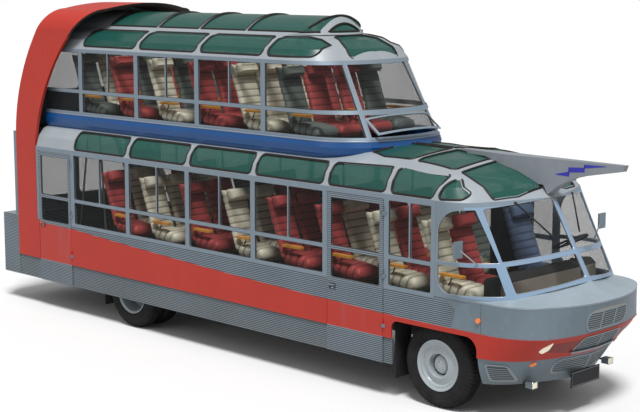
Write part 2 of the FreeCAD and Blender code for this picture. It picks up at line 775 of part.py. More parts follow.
# ---------------------------------------------------------------- windscreen
def windscreen_plans():
    """Plan outlines of the raked windscreen, below its foot and above its head."""
    pillar = s.front_pillar
    corner = s.half_width - 215
    return [
        Plan(1300, pillar, s.half_width, pillar + 490, pillar + 1110, corner, pillar + 1510, 59),
        Plan(2600, pillar, s.half_width, pillar + 140, pillar + 440, corner, pillar + 760, 25),
    ]


def windscreen_zone(drop=0):
    """Space between the nose's shelf and the front roof, where the windscreen stands."""
    pillar = s.front_pillar
    foot = s.shelf_high - drop
    head = s.window_high + 20
    side = [(pillar - 50, foot - 23), (pillar + 640, foot - 23), (pillar + 1020, foot + 37),
            (pillar + 1362, foot + 160), (pillar + 1690, foot + 260), (pillar + 1690, head + 150),
            (pillar + 781, head + 55), (pillar + 600, head), (pillar - 50, head)]
    return side_prism(side, -FAR, FAR)


def windscreen_openings():
    """Openings of the windscreen: low and high at the side and at the front."""
    pillar = s.front_pillar
    foot = s.shelf_high
    head = s.window_high
    rear = pillar + 95
    # the corner post leans back from its foot; its low half is the wider one
    low_foot = pillar + 1010
    low_head = pillar + 855
    high_head = pillar + 535
    corner = s.half_width - 215
    sides = [
        ([(rear, foot + 12), (low_foot - 40, foot + 70), (low_head - 40, 1768), (rear, 1735)],
         [190, 25, 8, 8]),
        ([(rear, 1772), (low_head - 22, 1808), (high_head - 22, head - 55), (rear, head - 80)],
         [8, 8, 20, 300]),
    ]
    fronts = [
        ([(34, foot + 205), (corner - 35, foot + 95), (corner - 35, 1775), (34, 1845)],
         [30, 25, 8, 20]),
        ([(30, 1892), (corner - 18, 1815), (corner - 18, head - 52), (30, head + 15)],
         [20, 8, 25, 30]),
    ]
    tools = [side_prism(outline, s.half_width - 420, s.half_width + 300, radii) for outline, radii in sides]
    tools += [front_prism(outline, pillar + 200, pillar + 1800, radii) for outline, radii in fronts]
    return both(tools)


def build_windscreen():
    """Frame and panes of the wrap-round windscreen."""
    plans = windscreen_plans()
    zone = windscreen_zone()
    ahead = across((s.front_pillar + 61, FAR), (0, FAR))
    roof = plan_loft(roof_plans(), -1)
    openings = Part.Compound(windscreen_openings())
    wall = plan_wall(plans, 0, s.wall).common(zone).common(ahead).cut(roof)
    frame = max(wall.cut(openings).Solids, key=lambda solid: solid.Volume)
    depth = s.pane_depth
    glass = plan_wall(plans, depth, depth + s.pane).common(zone).common(ahead)
    shape_node("windscreen_frame", Part.Compound([frame]))
    shape_node("windscreen_glass", solids_of(glass.common(openings).cut([frame, roof])))


# ---------------------------------------------------------------- lower roof
# Rows of the lower roof, from the window tops to the crown: height above the first row, how far
# in from the skin, and lengths ahead of the windscreen's rear edge.
RoofRow = namedtuple("RoofRow", "rise half_in side_end corner_x corner_in tip bow")

ROOF = (
    RoofRow(0, 4, 178, 512, 215, 841, 28),
    RoofRow(150, 50, -20, 370, 265, 670, 40),
    RoofRow(270, 145, -260, 130, 395, 390, 48),
    RoofRow(380, 480, -660, -260, 695, -60, 30),
    RoofRow(435, 850, -1010, -710, 995, -610, 12),
)


def roof_plans():
    """Plan outlines of the lower roof."""
    rear = s.hoop_front + 30
    first = s.window_high + 20
    pillar = s.front_pillar
    return [Plan(first + row.rise, rear, s.half_width - row.half_in, pillar + row.side_end,
                 pillar + row.corner_x, s.half_width - row.corner_in, pillar + row.tip, row.bow)
            for row in ROOF]


def roof_openings():
    """Pane openings of the lower roof: side coves and the lattice over the front."""
    low = s.window_high + 35
    high = s.cove_high + 27
    posts = lower_posts()
    coves = []
    for start, end in zip(posts, posts[1:]):
        outline = [(start + s.rib, low), (end - s.rib, low), (end - s.rib, high - 30), (start + s.rib, high - 30)]
        coves.append((outline, 60))
    door = s.last_post
    pillar = s.front_pillar
    lattice = [
        ([(door + s.rib, low), (pillar - 715, low), (pillar - 715, high - 10), (door + s.rib, high - 30)], 60),
        ([(pillar - 625, low), (pillar, low), (pillar + 70, high - 115), (pillar + 62, high - 38),
          (pillar - 625, high)], [60, 40, 60, 30, 45]),
        ([(pillar + 85, low), (pillar + 500, low + 10), (pillar + 150, high - 50)], [45, 45, 50]),
    ]
    tools = [side_prism(outline, s.half_width - 330, s.half_width + 300, radii)
             for outline, radii in coves + lattice]
    edge = s.half_width - 420
    crown = [
        ([(pillar - 1240, 45), (pillar - 655, 45), (pillar - 655, edge - 30), (pillar - 1100, edge - 15),
          (pillar - 1370, edge - 110)], [20, 20, 60, 0, 0]),
        ([(pillar - 550, 45), (pillar - 40, 45), (pillar - 20, edge - 5), (pillar - 560, edge + 5)],
         [40, 20, 70, 40]),
        ([(pillar + 60, 50), (pillar + 705, 50), (pillar + 668, 465), (pillar + 565, edge + 15),
          (pillar + 385, edge + 15), (pillar + 90, edge)], [20, 40, 150, 45, 90, 50]),
    ]
    tools += [plan_prism(outline, s.window_high, s.floor_upper + 600, radii) for outline, radii in crown]
    return both(tools)


def build_lower_roof():
    """Ribbed roof of the lower deck with its green panes."""
    plans = roof_plans()
    core = [plan._replace(rear=plan.rear - 50) for plan in raised(plans, 1)]
    shell = plan_loft(plans).cut(plan_loft(core, s.wall))
    depth = s.pane_depth
    panes = plan_loft(plans, depth).cut(plan_loft(core, depth + s.pane))
    openings = Part.Compound(roof_openings())
    tub = plan_loft(raised(tub_plans(), 0, 50))
    shape_node("lower_roof", solids_of(shell.cut([openings, tub])))
    shape_node("lower_roof_glass", solids_of(panes.common(openings).cut(tub)))


def build_fin():
    """Beak on the centre line over the windscreen."""
    pillar = s.front_pillar
    tip = s.nose_tip + 120
    side = [(pillar - 500, 2916), (pillar + 300, 2908), (tip, 2905), (tip - 25, 2835),
            (pillar + 1295, 2745), (pillar + 1130, 2700), (pillar + 930, 2593), (pillar + 800, 2490),
            (pillar + 690, 2560), (pillar + 290, 2740), (pillar - 110, 2860), (pillar - 500, 2870)]
    plan = [(pillar - 500, -50), (pillar + 190, -110), (pillar + 820, -80), (tip, -40),
            (tip, 40), (pillar + 820, 80), (pillar + 190, 110), (pillar - 500, 50)]
    blade = side_prism(side, -400, 400).common(plan_prism(plan, 2400, 3000))
    roof = plan_loft(raised(roof_plans(), 1), -1)
    shape_node("roof_fin", solids_of(blade.cut([roof, plan_loft(windscreen_plans(), -1)])))


# ---------------------------------------------------------------- upper deck
# Rows round the upper deck: height, how far in from the upper skin, and lengths back from the
# tip of its sill; corner is the half width where side and front meet.
DeckRow = namedtuple("DeckRow", "height half_in side_end corner_x corner tip bow")

DECK = {
    "tub_foot": DeckRow("cove_high - 30", 60, 780, 280, 560, 160, 34),
    "tub_low": DeckRow("cove_high + 90", -15, 730, 100, 660, -30, 40),
    "tub_high": DeckRow("deck_rail - 90", -25, 730, 80, 660, -50, 40),
    "tub_rail": DeckRow("deck_rail", -5, 730, 115, 645, -5, 39),
    "foot": DeckRow("deck_rail", 0, 730, 120, 640, 0, 38),
    "head": DeckRow("deck_high", 0, 1230, 660, 560, 570, 34),
    "cove_1": DeckRow("deck_high + (ridge - deck_high) * 0.45", 70, 1300, 750, 510, 660, 31),
    "cove_2": DeckRow("deck_high + (ridge - deck_high) * 0.8", 215, 1440, 940, 410, 850, 25),
    "crown": DeckRow("ridge", 400, 1680, 1240, 300, 1160, 18),
    "hump_foot": DeckRow("ridge", 400, 1600, 1160, 300, 1080, 18),
    "hump_top": DeckRow("hump_high + 1", 400, 1720, 1320, 280, 1250, 17),
}


def deck_plans(*words):
    """Plan outlines of the upper deck at the named rows."""
    plans = []
    for word in words:
        row = DECK[word]
        height = float(sheet.evalExpression(expand(row.height)))
        plans.append(Plan(height, s.deck_tail, s.deck_half - row.half_in, s.deck_tip - row.side_end,
                          s.deck_tip - row.corner_x, row.corner, s.deck_tip - row.tip, row.bow))
    return plans


def tub_plans():
    """Plan outlines of the blue tub."""
    return deck_plans("tub_foot", "tub_low", "tub_high", "tub_rail")


def build_tub():
    """Blue tub round the foot of the upper deck."""
    shape_node("upper_tub", solids_of(plan_wall(tub_plans(), 0, s.wall + 20)))


def upper_bars():
    """Posts, dividers and rails of the upper window wall, as blocks across the deck."""
    half = s.post_width / 2
    bars = []
    for place in lower_posts()[:-1]:
        bars.append(across((place - half, place + half), (s.floor_upper, s.ridge)))
    for place in lower_posts()[:-2]:
        middle = place + s.bay / 2
        bars.append(across((middle - s.divider / 2, middle + s.divider / 2), (s.deck_mid, s.ridge)))
    rails = ((s.deck_rail, s.deck_rail + 30), (s.deck_mid - 25, s.deck_mid + 25),
             (s.deck_high - s.rail_height, s.deck_high))
    bars += [across((-FAR, FAR), rail) for rail in rails]
    foot, head = deck_plans("foot", "head")
    for side, word in SIDES:
        base = Vector(foot.corner_x, side * foot.corner_y, foot.height)
        top = Vector(head.corner_x, side * head.corner_y, head.height)
        bar = Part.makeBox(240, 60, (top - base).Length + 300, Vector(-120, -30, -150))
        bar.Placement = Placement(base, Rotation(Vector(0, 0, 1), top - base))
        bars.append(bar)
    return bars


def flap_zone(low, high, margin=0):
    """Space in the front of the upper deck between two heights below its middle rail."""
    half = DECK["foot"].corner - 50 - margin
    return block((s.deck_tip - 700, s.deck_tip + 400), (-half, half), (low, high))


def flap_turn():
    """Placement that swings the flap out about its top edge."""
    hinge = Vector(s.deck_tip - 165, 0, s.deck_mid - 30)
    return Placement(Vector(0, 0, 0), Rotation(Vector(0, 1, 0), -22), hinge)


def build_upper_frame():
    """Posts, rails and panes of the upper deck, and the flap that stands open at its front."""
    plans = deck_plans("foot", "head")
    beyond = [hoop_cutter(), back_cutter()]
    depth = s.pane_depth
    wall = plan_wall(plans, 0, s.wall).cut(beyond)
    frame = wall.common(union(upper_bars()))
    shape_node("upper_window_frame", solids_of(frame))
    glass = plan_wall(plans, depth, depth + s.pane).cut(beyond)
    rail_under = s.deck_mid - 25
    hole = flap_zone(s.deck_rail + 60, rail_under - 38, 26)
    room = flap_zone(s.deck_rail + 30, rail_under)
    leaf = plan_wall(plans, -2, 18).common(flap_zone(s.deck_rail + 30, rail_under - 8)).cut(hole)
    leaf.Placement = flap_turn()
    strip = plan_wall(plans, 0, 8).common(flap_zone(rail_under - 12, rail_under))
    pane = plan_wall(plans, 5, 5 + s.pane).common(hole)
    pane.Placement = flap_turn()
    shape_node("vent_flap", solids_of(leaf.fuse(strip).cut(frame)))
    shape_node("upper_window_glass", solids_of(glass.cut([frame, room]), pane))


def build_upper_roof():
    """Coves and ridge rail of the upper roof, and the glazed hump on top."""
    plans = deck_plans("head", "cove_1", "cove_2", "crown")
    beyond = [hoop_cutter(), back_cutter()]
    depth = s.pane_depth
    shell = plan_wall(plans, 0, s.wall)
    panes = plan_wall(plans, depth, depth + s.pane)
    low = s.deck_high + 40
    high = s.ridge - 30
    posts = lower_posts()[:-1] + [s.deck_tip - 830]
    windows = []
    for start, end in zip(posts, posts[1:]):
        outline = [(start + s.rib, low), (end - s.rib, low), (end - s.rib, high), (start + s.rib, high)]
        windows.append(side_prism(outline, s.deck_half - 440, s.deck_half + 300, 70))
    windows = both(windows)
    tip = s.deck_tip
    front = [(tip - 1070, -300), (tip - 1070, 300), (tip - 635, 470), (tip - 635, -470)]
    windows.append(plan_prism(front, s.deck_high - 35, s.ridge + 65, 60))
    openings = Part.Compound(windows)
    frame, hump_glass = hump_shapes()
    shape_node("upper_roof", solids_of(shell.cut([openings] + beyond)))
    shape_node("hump_frame", solids_of(frame.cut(beyond)))
    shape_node("upper_roof_glass", solids_of(panes.common(openings).cut(beyond), hump_glass.cut(beyond)))


def hump_solid(start, inset):
    """Solid hump, round in section and in plan at its front; start is its rear end."""
    half = s.hump_half - inset
    ends = (Vector(start, -half, s.ridge), Vector(start, half, s.ridge))
    arc = Part.Arc(ends[0], Vector(start, 0, s.hump_high - inset), ends[1]).toShape()
    section = Part.Face(Part.Wire([arc, Part.makeLine(ends[1], ends[0])]))
    body = section.extrude(Vector(FAR, 0, 0))
    return body.common(plan_loft(raised(deck_plans("hump_foot", "hump_top"), 1), inset))


def hump_shapes():
    """Hoops and glass of the hump."""
    start = s.deck_tail + 20
    shell = hump_solid(start, 0).cut(hump_solid(start - 10, s.wall))
    posts = lower_posts()
    stations = [posts[1] - 20, posts[2] - 420, posts[3] - 770, s.deck_tip - 1210]
    bars = [across((place - 25, place + 25), (0, FAR)) for place in stations]
    bars.append(across((start - 10, s.first_post + 180), (0, FAR)))
    bars.append(across((start - 10, s.deck_tip), (0, s.ridge + 32)))
    frame = shell.common(union(bars))
    depth = s.pane_depth - 2
    glass = hump_solid(start, depth).cut(hump_solid(start - 10, depth + s.pane)).cut(frame)
    return frame, glass


# ---------------------------------------------------------------- hoop and rear
HOOP_BEND = 2600
HOOP_SWEEP = (
    # edge, foot height, middle (ahead of the foot, height), top ahead of the foot
    ("front", 2500, (470, 3720), 1350),
    ("rear", 2660, (313, 3890), 800),
)


def hoop_face(inset):
    """Outline of the hoop across the bus, moved in by inset, closed along its foot."""
    half = s.half_width - inset
    foot = s.band_high_rear
    lean = 90
    reach = 365 - inset
    turn = Vector(0, half - lean - reach, s.hoop_high - 450)
    right = [
        (Vector(0, -half, HOOP_BEND), Vector(0, 28 - half, (HOOP_BEND + turn.z) / 2 + 75),
         Vector(0, lean - half, turn.z)),
        (Vector(0, lean - half, turn.z),
         Vector(0, -turn.y - reach * math.sqrt(0.5), turn.z + reach * math.sqrt(0.5)),
         Vector(0, -turn.y, turn.z + reach)),
    ]
    edges = [Part.makeLine(Vector(0, -half, foot), right[0][0])]
    edges += [Part.Arc(*points).toShape() for points in right]
    crown = Part.Arc(right[1][2], Vector(0, 0, s.hoop_high - inset), Vector(0, turn.y, turn.z + reach))
    edges.append(crown.toShape())
    for points in reversed(right):
        flipped = [Vector(0, -point.y, point.z) for point in reversed(points)]
        edges.append(Part.Arc(*flipped).toShape())
    edges.append(Part.makeLine(Vector(0, half, HOOP_BEND), Vector(0, half, foot)))
    edges.append(Part.makeLine(Vector(0, half, foot), Vector(0, -half, foot)))
    return Part.Face(Part.Wire(edges))


def behind_edge(edge, foot_x, shift=0):
    """Everything behind one swept edge of the hoop, moved forward by shift."""
    name, bend, (mid_x, mid_z), top_x = [row for row in HOOP_SWEEP if row[0] == edge][0]
    x = foot_x + shift
    top = s.hoop_high + 20
    start = Vector(x, -FAR, bend)
    end = Vector(x + top_x, -FAR, top)
    arc = Part.Arc(start, Vector(x + mid_x, -FAR, mid_z), end).toShape()
    far = s.tail - 1000
    corners = [end, Vector(far, -FAR, top), Vector(far, -FAR, 0), Vector(x, -FAR, 0), start]
    lines = [Part.makeLine(a, b) for a, b in zip(corners, corners[1:])]
    return Part.Face(Part.Wire([arc] + lines)).extrude(Vector(0, 2 * FAR, 0))


def hoop_zone():
    """Space between the rear and front edges of the hoop seen from the side."""
    above = across((s.tail, FAR), (s.band_high_rear - 10, s.hoop_high + 15))
    return behind_edge("front", s.hoop_front).cut(behind_edge("rear", s.hoop_rear)).common(above)


def hoop_prism(inset):
    """The hoop's outline run along the bus."""
    return hoop_face(inset).extrude(Vector(2400, 0, 0)).translate(Vector(s.hoop_rear - 100, 0, 0))


HOOP_THICK = 45


def hoop_cutter():
    """The part of the hoop's zone outside its inner face, for what passes through."""
    return hoop_zone().cut(hoop_prism(HOOP_THICK + s.fit))


def back_cutter():
    """Everything behind the inside of the upper back wall."""
    return behind_edge("rear", s.hoop_rear, 2 * s.wall + s.fit)


def build_hoop():
    """Red hoop that rises from the band, sweeps forward and crosses over the upper deck."""
    ring = hoop_prism(0).cut(hoop_prism(HOOP_THICK))
    shape_node("rear_hoop", solids_of(ring.common(hoop_zone())))


def back_openings():
    """Two windows in the back of each deck."""
    tools = []
    for low, high, inner, outer in (
            (s.waist + 230, s.window_high + 40, 60, s.half_width - 190),
            (s.deck_mid - 60, s.deck_high - 40, 80, s.deck_half - 180)):
        outline = [(inner, low), (outer, low), (outer, high), (inner, high)]
        tools.append(front_prism(outline, s.back_face - 50, s.hoop_front + 200, 90))
    return both(tools)


def build_rear():
    """Back wall of both decks with its windows, and the fluted luggage box."""
    half = s.half_width - HOOP_THICK - 15
    front = s.hoop_rear + 2 * s.wall
    inner = half - s.wall
    top = HOOP_BEND + 40
    bay = block((s.back_face, front), (-half, half), (s.waist + 20, top))
    room = block((s.back_face + s.wall, front + 1), (-inner, inner), (s.waist, top - s.wall))
    skin = behind_edge("rear", s.hoop_rear, 2 * s.wall).cut(behind_edge("rear", s.hoop_rear, s.wall))
    above = across((s.tail, FAR), (top - s.wall, s.hoop_high))
    upper = skin.common(above).common(hoop_prism(HOOP_THICK + s.fit))
    openings = Part.Compound(back_openings())
    shape_node("rear_wall", solids_of(bay.cut(room).fuse(upper).cut(openings)))
    depth = s.pane_depth
    low_sheet = across((s.back_face + depth, s.back_face + depth + s.pane), (0, top - s.wall))
    high_sheet = behind_edge("rear", s.hoop_rear, 48).cut(behind_edge("rear", s.hoop_rear, 48 - s.pane))
    above = across((s.tail, FAR), (top, s.hoop_high))
    shape_node("rear_glass", solids_of(openings.common(low_sheet), openings.common(high_sheet.common(above))))
    skin_half = "half_width - 12"
    back = "tail + bumper_depth"
    trunk = box("luggage_skin", (back, "hoop_rear"), (f"-({skin_half})", skin_half),
                ("skirt_low", "waist + 20"))
    hollow = box("luggage_room", (f"{back} + sheet_metal", "hoop_rear + 10"),
                 (f"-({skin_half}) + sheet_metal", f"{skin_half} - sheet_metal"),
                 ("skirt_low + sheet_metal", "waist"))
    bumper_half = "half_width - 120"
    bumper = box("rear_bumper", ("tail", f"{back} + 5"), (f"-({bumper_half})", bumper_half),
                 ("skirt_low + 45", "skirt_low + 125"))
    keep("luggage_box", fuse("luggage_box", [cut("luggage_shell", trunk, hollow), bumper]))


# ---------------------------------------------------------------- doors
HINGE_HEIGHTS = (900, 1500, 2250)
BARREL_RADIUS = 8


def build_doors():
    """Hinged doors: skin, frame, panes and the hinges' two halves."""
    fixed = []
    for door in doors():
        side = door.side
        skin = side * (s.half_width - 2)
        y = sorted((skin, side * (s.half_width - s.wall)))
        leaf = block((door.rear, door.front), y, (s.skirt_low, s.window_high - s.rail_height))
        border = 60
        y_low, y_high = sorted((side * (s.half_width - 300), side * (s.half_width + 300)))
        x0, x1 = door.rear + border, door.front - border
        panes = []
        for z0, z1 in ((s.waist + 20, s.rail_mid - 25), (s.rail_mid + 25, s.window_high - s.rail_height - border)):
            panes.append(side_prism([(x0, z0), (x1, z0), (x1, z1), (x0, z1)], y_low, y_high, 20))
        leaf = leaf.cut(panes)
        pin = Vector(door.front + s.door_gap / 2, side * (s.half_width + 11), 0)
        for height in HINGE_HEIGHTS:
            pin.z = height
            barrel = Part.makeCylinder(BARREL_RADIUS, 60, pin)
            tab = block((door.front - 30, pin.x), sorted((side * (s.half_width - 10), pin.y)), (height, height + 60))
            leaf = leaf.fuse([barrel, tab])
            low = height - 40 - s.fit
            knuckle = Part.makeCylinder(BARREL_RADIUS, 40, Vector(pin.x, pin.y, low))
            proud = 0 if low < s.band_high_front else 4
            ear = block((pin.x, pin.x + 40), sorted((side * (s.half_width - proud), pin.y)), (low, low + 40))
            fixed.append(knuckle.fuse(ear))
        shape_node(door.name, leaf)
        y_pane = side * (s.half_width - s.wall / 2)
        sheet_y = sorted((y_pane, y_pane - side * s.pane))
        sheet_of_glass = block((door.rear, door.front), sheet_y, (0, s.window_high))
        shape_node(f"{door.name}_glass", solids_of(Part.Compound(panes).common(sheet_of_glass)))
    shape_node("door_hinges", Part.Compound(fixed))


# ---------------------------------------------------------------- inside
STAIR_STEPS = 8


def build_floors():
    """Lower floor on the chassis bearers, upper floor inside the tub with its stair well."""
    inner = "inside_half - 26"
    keep("lower_floor", box("lower_floor", ("hoop_rear + 80", "front_pillar + 810"),
                            (f"-({inner})", inner), ("floor_under", "floor_lower")))
    inner = "deck_half - 75"
    plate = box("upper_plate", ("hoop_rear + 140", "deck_tip - 280"), (f"-({inner})", inner),
                ("floor_upper - 30", "floor_upper"))
    well = box("stair_well", ("hoop_rear + 200", "first_post - 120"), ("230", f"{inner} + 10"),
               ("floor_upper - 40", "floor_upper + 10"))
    rest = cut("upper_plate_open", plate, well)
    keep("upper_floor", cut("upper_floor", rest, nodes["upper_tub"]))


def build_staircase():
    """Straight stair to the upper deck on the left at the back, and its white poles."""
    foot_x = s.first_post - 100
    head_x = s.hoop_rear + 480
    rise = (s.floor_upper - s.floor_lower) / (STAIR_STEPS + 1)
    run = (foot_x - head_x) / STAIR_STEPS
    inner, outer = 260, s.deck_half - 100
    pieces = []
    for step in range(STAIR_STEPS):
        x = foot_x - step * run
        z = s.floor_lower + (step + 1) * rise
        pieces.append(block((x - run - 25, x), (inner, outer), (z - 30, z)))
    low, high = s.floor_lower, s.floor_upper - 40
    outline = [(foot_x, low), (foot_x + 90, low), (head_x + 70, high), (head_x - 40, high)]
    for y in (inner - 25, outer):
        pieces.append(side_prism(outline, y, y + 25))
    between = across((-FAR, FAR), (s.floor_lower, s.floor_upper - 30))
    poles = []
    for x, lean in ((s.hoop_rear + 400, 300), (foot_x - 250, -120)):
        along = Vector(lean, 0, s.floor_upper - s.floor_lower)
        base = Vector(x, -330, s.floor_lower) - along * 0.05
        poles.append(Part.makeCylinder(16, along.Length * 1.1, base, along).common(between))
    shape_node("staircase", solids_of(union(pieces), *poles))


def seat_solid(x, y, floor, width):
    """One reclined high-back seat; x is the front of its cushion."""
    top = floor + s.seat_high
    back = floor + s.back_high
    outline = [(x, top), (x - 420, top - 40), (x - 720, back), (x - 850, back - 30), (x - 520, top - 190),
               (x, top - 190)]
    return side_prism(outline, y - width / 2, y + width / 2)


def seat_stand(x, y, floor, width):
    """Pedestal under one seat."""
    return block((x - 420, x - 120), (y - width / 2 + 70, y + width / 2 - 70),
                 (floor, floor + s.seat_high - 190 - s.fit))


def armrest(x, y, floor):
    """Flat armrest that reaches forward from the seat's back."""
    low = floor + s.seat_high + s.arm_rise
    lean = 300 / (s.back_high - s.seat_high + 40)
    rear = x - 420 - (s.arm_rise + 40) * lean + s.fit
    outline = [(rear, low), (x - 150, low), (x - 150, low + 30), (rear - 30 * lean, low + 30)]
    return side_prism(outline, y - 38, y + 38)


# Decks: name, floor height, front of the first row, rear limit of the last back, outer edge of
# the seats and aisle width.
Deck = namedtuple("Deck", "name floor first last edge aisle")


def build_seats():
    """Rows of seats on both decks, their stands and armrests."""
    decks = (
        Deck("lower", s.floor_lower, s.door_front + 370, s.first_post, s.seat_edge_lower, s.aisle_lower),
        Deck("upper", s.floor_upper, s.deck_tip - 730, s.deck_tail + 300, s.seat_edge_upper, s.aisle_upper),
    )
    stands = []
    rests = []
    depth = 850
    for deck in decks:
        width = (deck.edge - deck.aisle / 2 - 6) / 2
        rows = int((deck.first - depth - deck.last) / s.seat_pitch) + 1
        places = [(deck.first - row * s.seat_pitch, side) for row in range(rows) for side in (-1, 1)]
        if deck.name == "lower":
            places.append((deck.first + s.seat_pitch, -1))
        seats = []
        for x, side in places:
            for column in range(2):
                y = side * (deck.aisle / 2 + width * (column + 0.5) + 6 * column)
                seats.append(seat_solid(x, y, deck.floor, width - 8))
                stands.append(seat_stand(x, y, deck.floor, width))
            for y in (deck.aisle / 2 + 42, deck.edge - 46):
                rests.append(armrest(x, side * y, deck.floor))
        if deck.name == "lower":
            driver_x = s.front_pillar + 560
            seats.append(seat_solid(driver_x, 640, deck.floor, 480))
            stands.append(seat_stand(driver_x, 640, deck.floor, 480))
        shape_node(f"{deck.name}_seats", Part.Compound(seats))
    shape_node("seat_stands", Part.Compound(stands))
    shape_node("armrests", Part.Compound(rests))


def build_cab():
    """Steering wheel, dashboard with its cowl, engine cover and the driver's partition."""
    pillar = s.front_pillar
    rim = doc.addObject("Part::Torus", "steering_rim")
    rim.Radius1 = 215
    rim.Radius2 = 14
    column = rod("column", "22", "z", ("0", "0", "-400"), "400")
    spoke = box("spokes", ("-210", "210"), ("-9", "9"), ("-7", "7"))
    hub = rod("hub", "48", "z", ("0", "0", "-25"), "45")
    wheel = keep("steering_wheel", fuse("steering_wheel", [rim, column, spoke, hub]))
    put(wheel, Rotation(Vector(0, 1, 0), -28), ("front_pillar + 640", "640", "waist + 500"))
    doc.recompute()
    shelf = nose_plans("shelf")[0]
    low, high = (shelf._replace(height=height) for height in (s.waist - 45, s.waist + 5))
    tray = plan_loft([low, high], 8 + s.sheet_metal + s.fit)
    tray = tray.cut([across((-FAR, pillar + 811), (0, FAR)), nodes["nose_upper"].Shape])
    cowl = side_prism([(pillar + 570, s.floor_lower), (pillar + 811, s.floor_lower), (pillar + 811, 1560),
                       (pillar + 740, 1620), (pillar + 570, 1600)], -930, 930, [0, 0, 40, 40, 60])
    hood = side_prism([(pillar + 40, s.floor_lower), (pillar + 570, s.floor_lower), (pillar + 570, 1480),
                       (pillar + 40, 1440)], -150, 330, [0, 0, 0, 60])
    screen = block((pillar - 330, pillar - 300), (330, s.inside_half - 60), (s.floor_lower, 2350))
    solid = tray.fuse([cowl, hood]).cut(wheel.Shape)
    shape_node("dashboard", solids_of(solid, screen))


# ---------------------------------------------------------------- grilles, lamps and fittings
# Grilles on the nose: name, outline in (y, z), corner radius, upright bars, first slat height,
# slat count. Slats are slat_step apart.
Grille = namedtuple("Grille", "name outline radius bars low count")
SLAT_STEP = 26
SLAT_THICK = 9


def grilles():
    """Table of the nose's grilles."""
    return [
        Grille("upper", [(-395, 1050), (395, 1050), (395, 1285), (-395, 1285)], 105, (-130, 130), 1078, 8),
        Grille("middle", [(-440, 775), (440, 775), (360, 985), (-360, 985)], 70, (0,), 812, 6),
        Grille("lower", [(-520, 520), (520, 520), (560, 715), (-560, 715)], 85, (0,), 548, 6),
    ]


def grille_shape(grille, skin, behind):
    """Frame ring, upright bars and slats lying on the nose's skin."""
    outline = grille.outline
    middle = Vector(sum(y for y, z in outline) / 4, sum(z for y, z in outline) / 4)
    inner = []
    for y, z in outline:
        inner.append((y - 20 * (1 if y > middle.x else -1), z - 18 * (1 if z > middle.y else -1)))
    zone = front_prism(outline, s.nose_tip - 900, s.nose_tip + 100, grille.radius)
    hole = front_prism(inner, s.nose_tip - 900, s.nose_tip + 100, grille.radius - 18)
    bars = [zone.cut(hole)]
    for y in grille.bars:
        bars.append(block((s.nose_tip - 900, s.nose_tip + 100), (y - 10, y + 10), (0, 2000)).common(zone))
    for number in range(grille.count):
        z = grille.low + number * SLAT_STEP
        bars.append(across((s.nose_tip - 900, s.nose_tip + 100), (z, z + SLAT_THICK)).common(zone))
    return union(bars).common(skin).cut(behind)


def build_grilles():
    """Grilles of the nose and the vents below the headlamps."""
    belts = {
        "upper": nose_plans("band_high", "shelf"),
        "middle": nose_plans("band_low", "band_high"),
        "lower": nose_plans("skirt", "band_low"),
    }
    inset = {"upper": 8, "middle": 0, "lower": 12}
    pieces = []
    for grille in grilles():
        belt = belts[grille.name]
        depth = inset[grille.name]
        pieces.append(grille_shape(grille, plan_loft(belt, depth - 8), plan_loft(belt, depth)))
    bumper = side_prism([(s.nose_tip - 600, 778), (s.nose_tip, 778), (s.nose_tip, 806), (s.nose_tip - 600, 806)],
                        -425, 425)
    belt = belts["middle"]
    bumper = bumper.common(plan_loft(belt, -30)).cut(plan_loft(belt, -8))
    pieces.append(bumper)
    vent = [(s.arch_front + 90, 470), (s.arch_front + 330, 470), (s.arch_front + 330, 690), (s.arch_front + 90, 690)]
    ring = side_prism(vent, s.half_width - 700, s.half_width + 50, 40)
    inner = [(x + (20 if x < s.arch_front + 200 else -20), z + (20 if z < 600 else -20)) for x, z in vent]
    slats = [ring.cut(side_prism(inner, 0, s.half_width + 60, 22))]
    for number in range(6):
        z = 503 + number * SLAT_STEP
        slats.append(ring.common(across((0, FAR), (z, z + SLAT_THICK))))
    belt = belts["lower"]
    side_vent = union(slats).common(plan_loft(belt, 4)).cut(plan_loft(belt, 12))
    pieces += [side_vent, mirrored(side_vent)]
    shape_node("grilles", solids_of(*pieces))


def build_lamps():
    """Teardrop headlamps, round indicators and side markers, and square fog lamps."""
    tip = s.nose_tip
    band = nose_plans("band_low", "band_high")
    skirt = nose_plans("skirt", "band_low")
    high = nose_plans("band_high", "shelf")
    tear = [(-830, 835), (-885, 870), (-868, 915), (-790, 975), (-778, 880)]
    headlamp = front_prism(tear, tip - 800, tip, [22, 26, 26, 3, 30])
    headlamp = headlamp.common(plan_loft(band, -12)).cut(plan_loft(band, 0))
    indicator = Part.makeCylinder(30, 900, Vector(tip - 800, -815, 690), Vector(1, 0, 0))
    indicator = indicator.common(plan_loft(skirt, -6)).cut(plan_loft(skirt, 12))
    marker = Part.makeCylinder(30, 400, Vector(s.arch_front + 15, 200 - s.half_width, 1172), Vector(0, -1, 0))
    marker = marker.common(plan_loft(high, -14)).cut(plan_loft(high, 8))
    lamp = block((tip - 600, tip - 505), (-800, -705), (400, 470))
    bracket = block((tip - 900, tip - 590), (-765, -735), (430, 445))
    fog = lamp.fuse(bracket).cut(plan_loft(skirt, 12 - s.fit))
    shape_node("lamps", solids_of(*both([headlamp, indicator, marker, fog])))


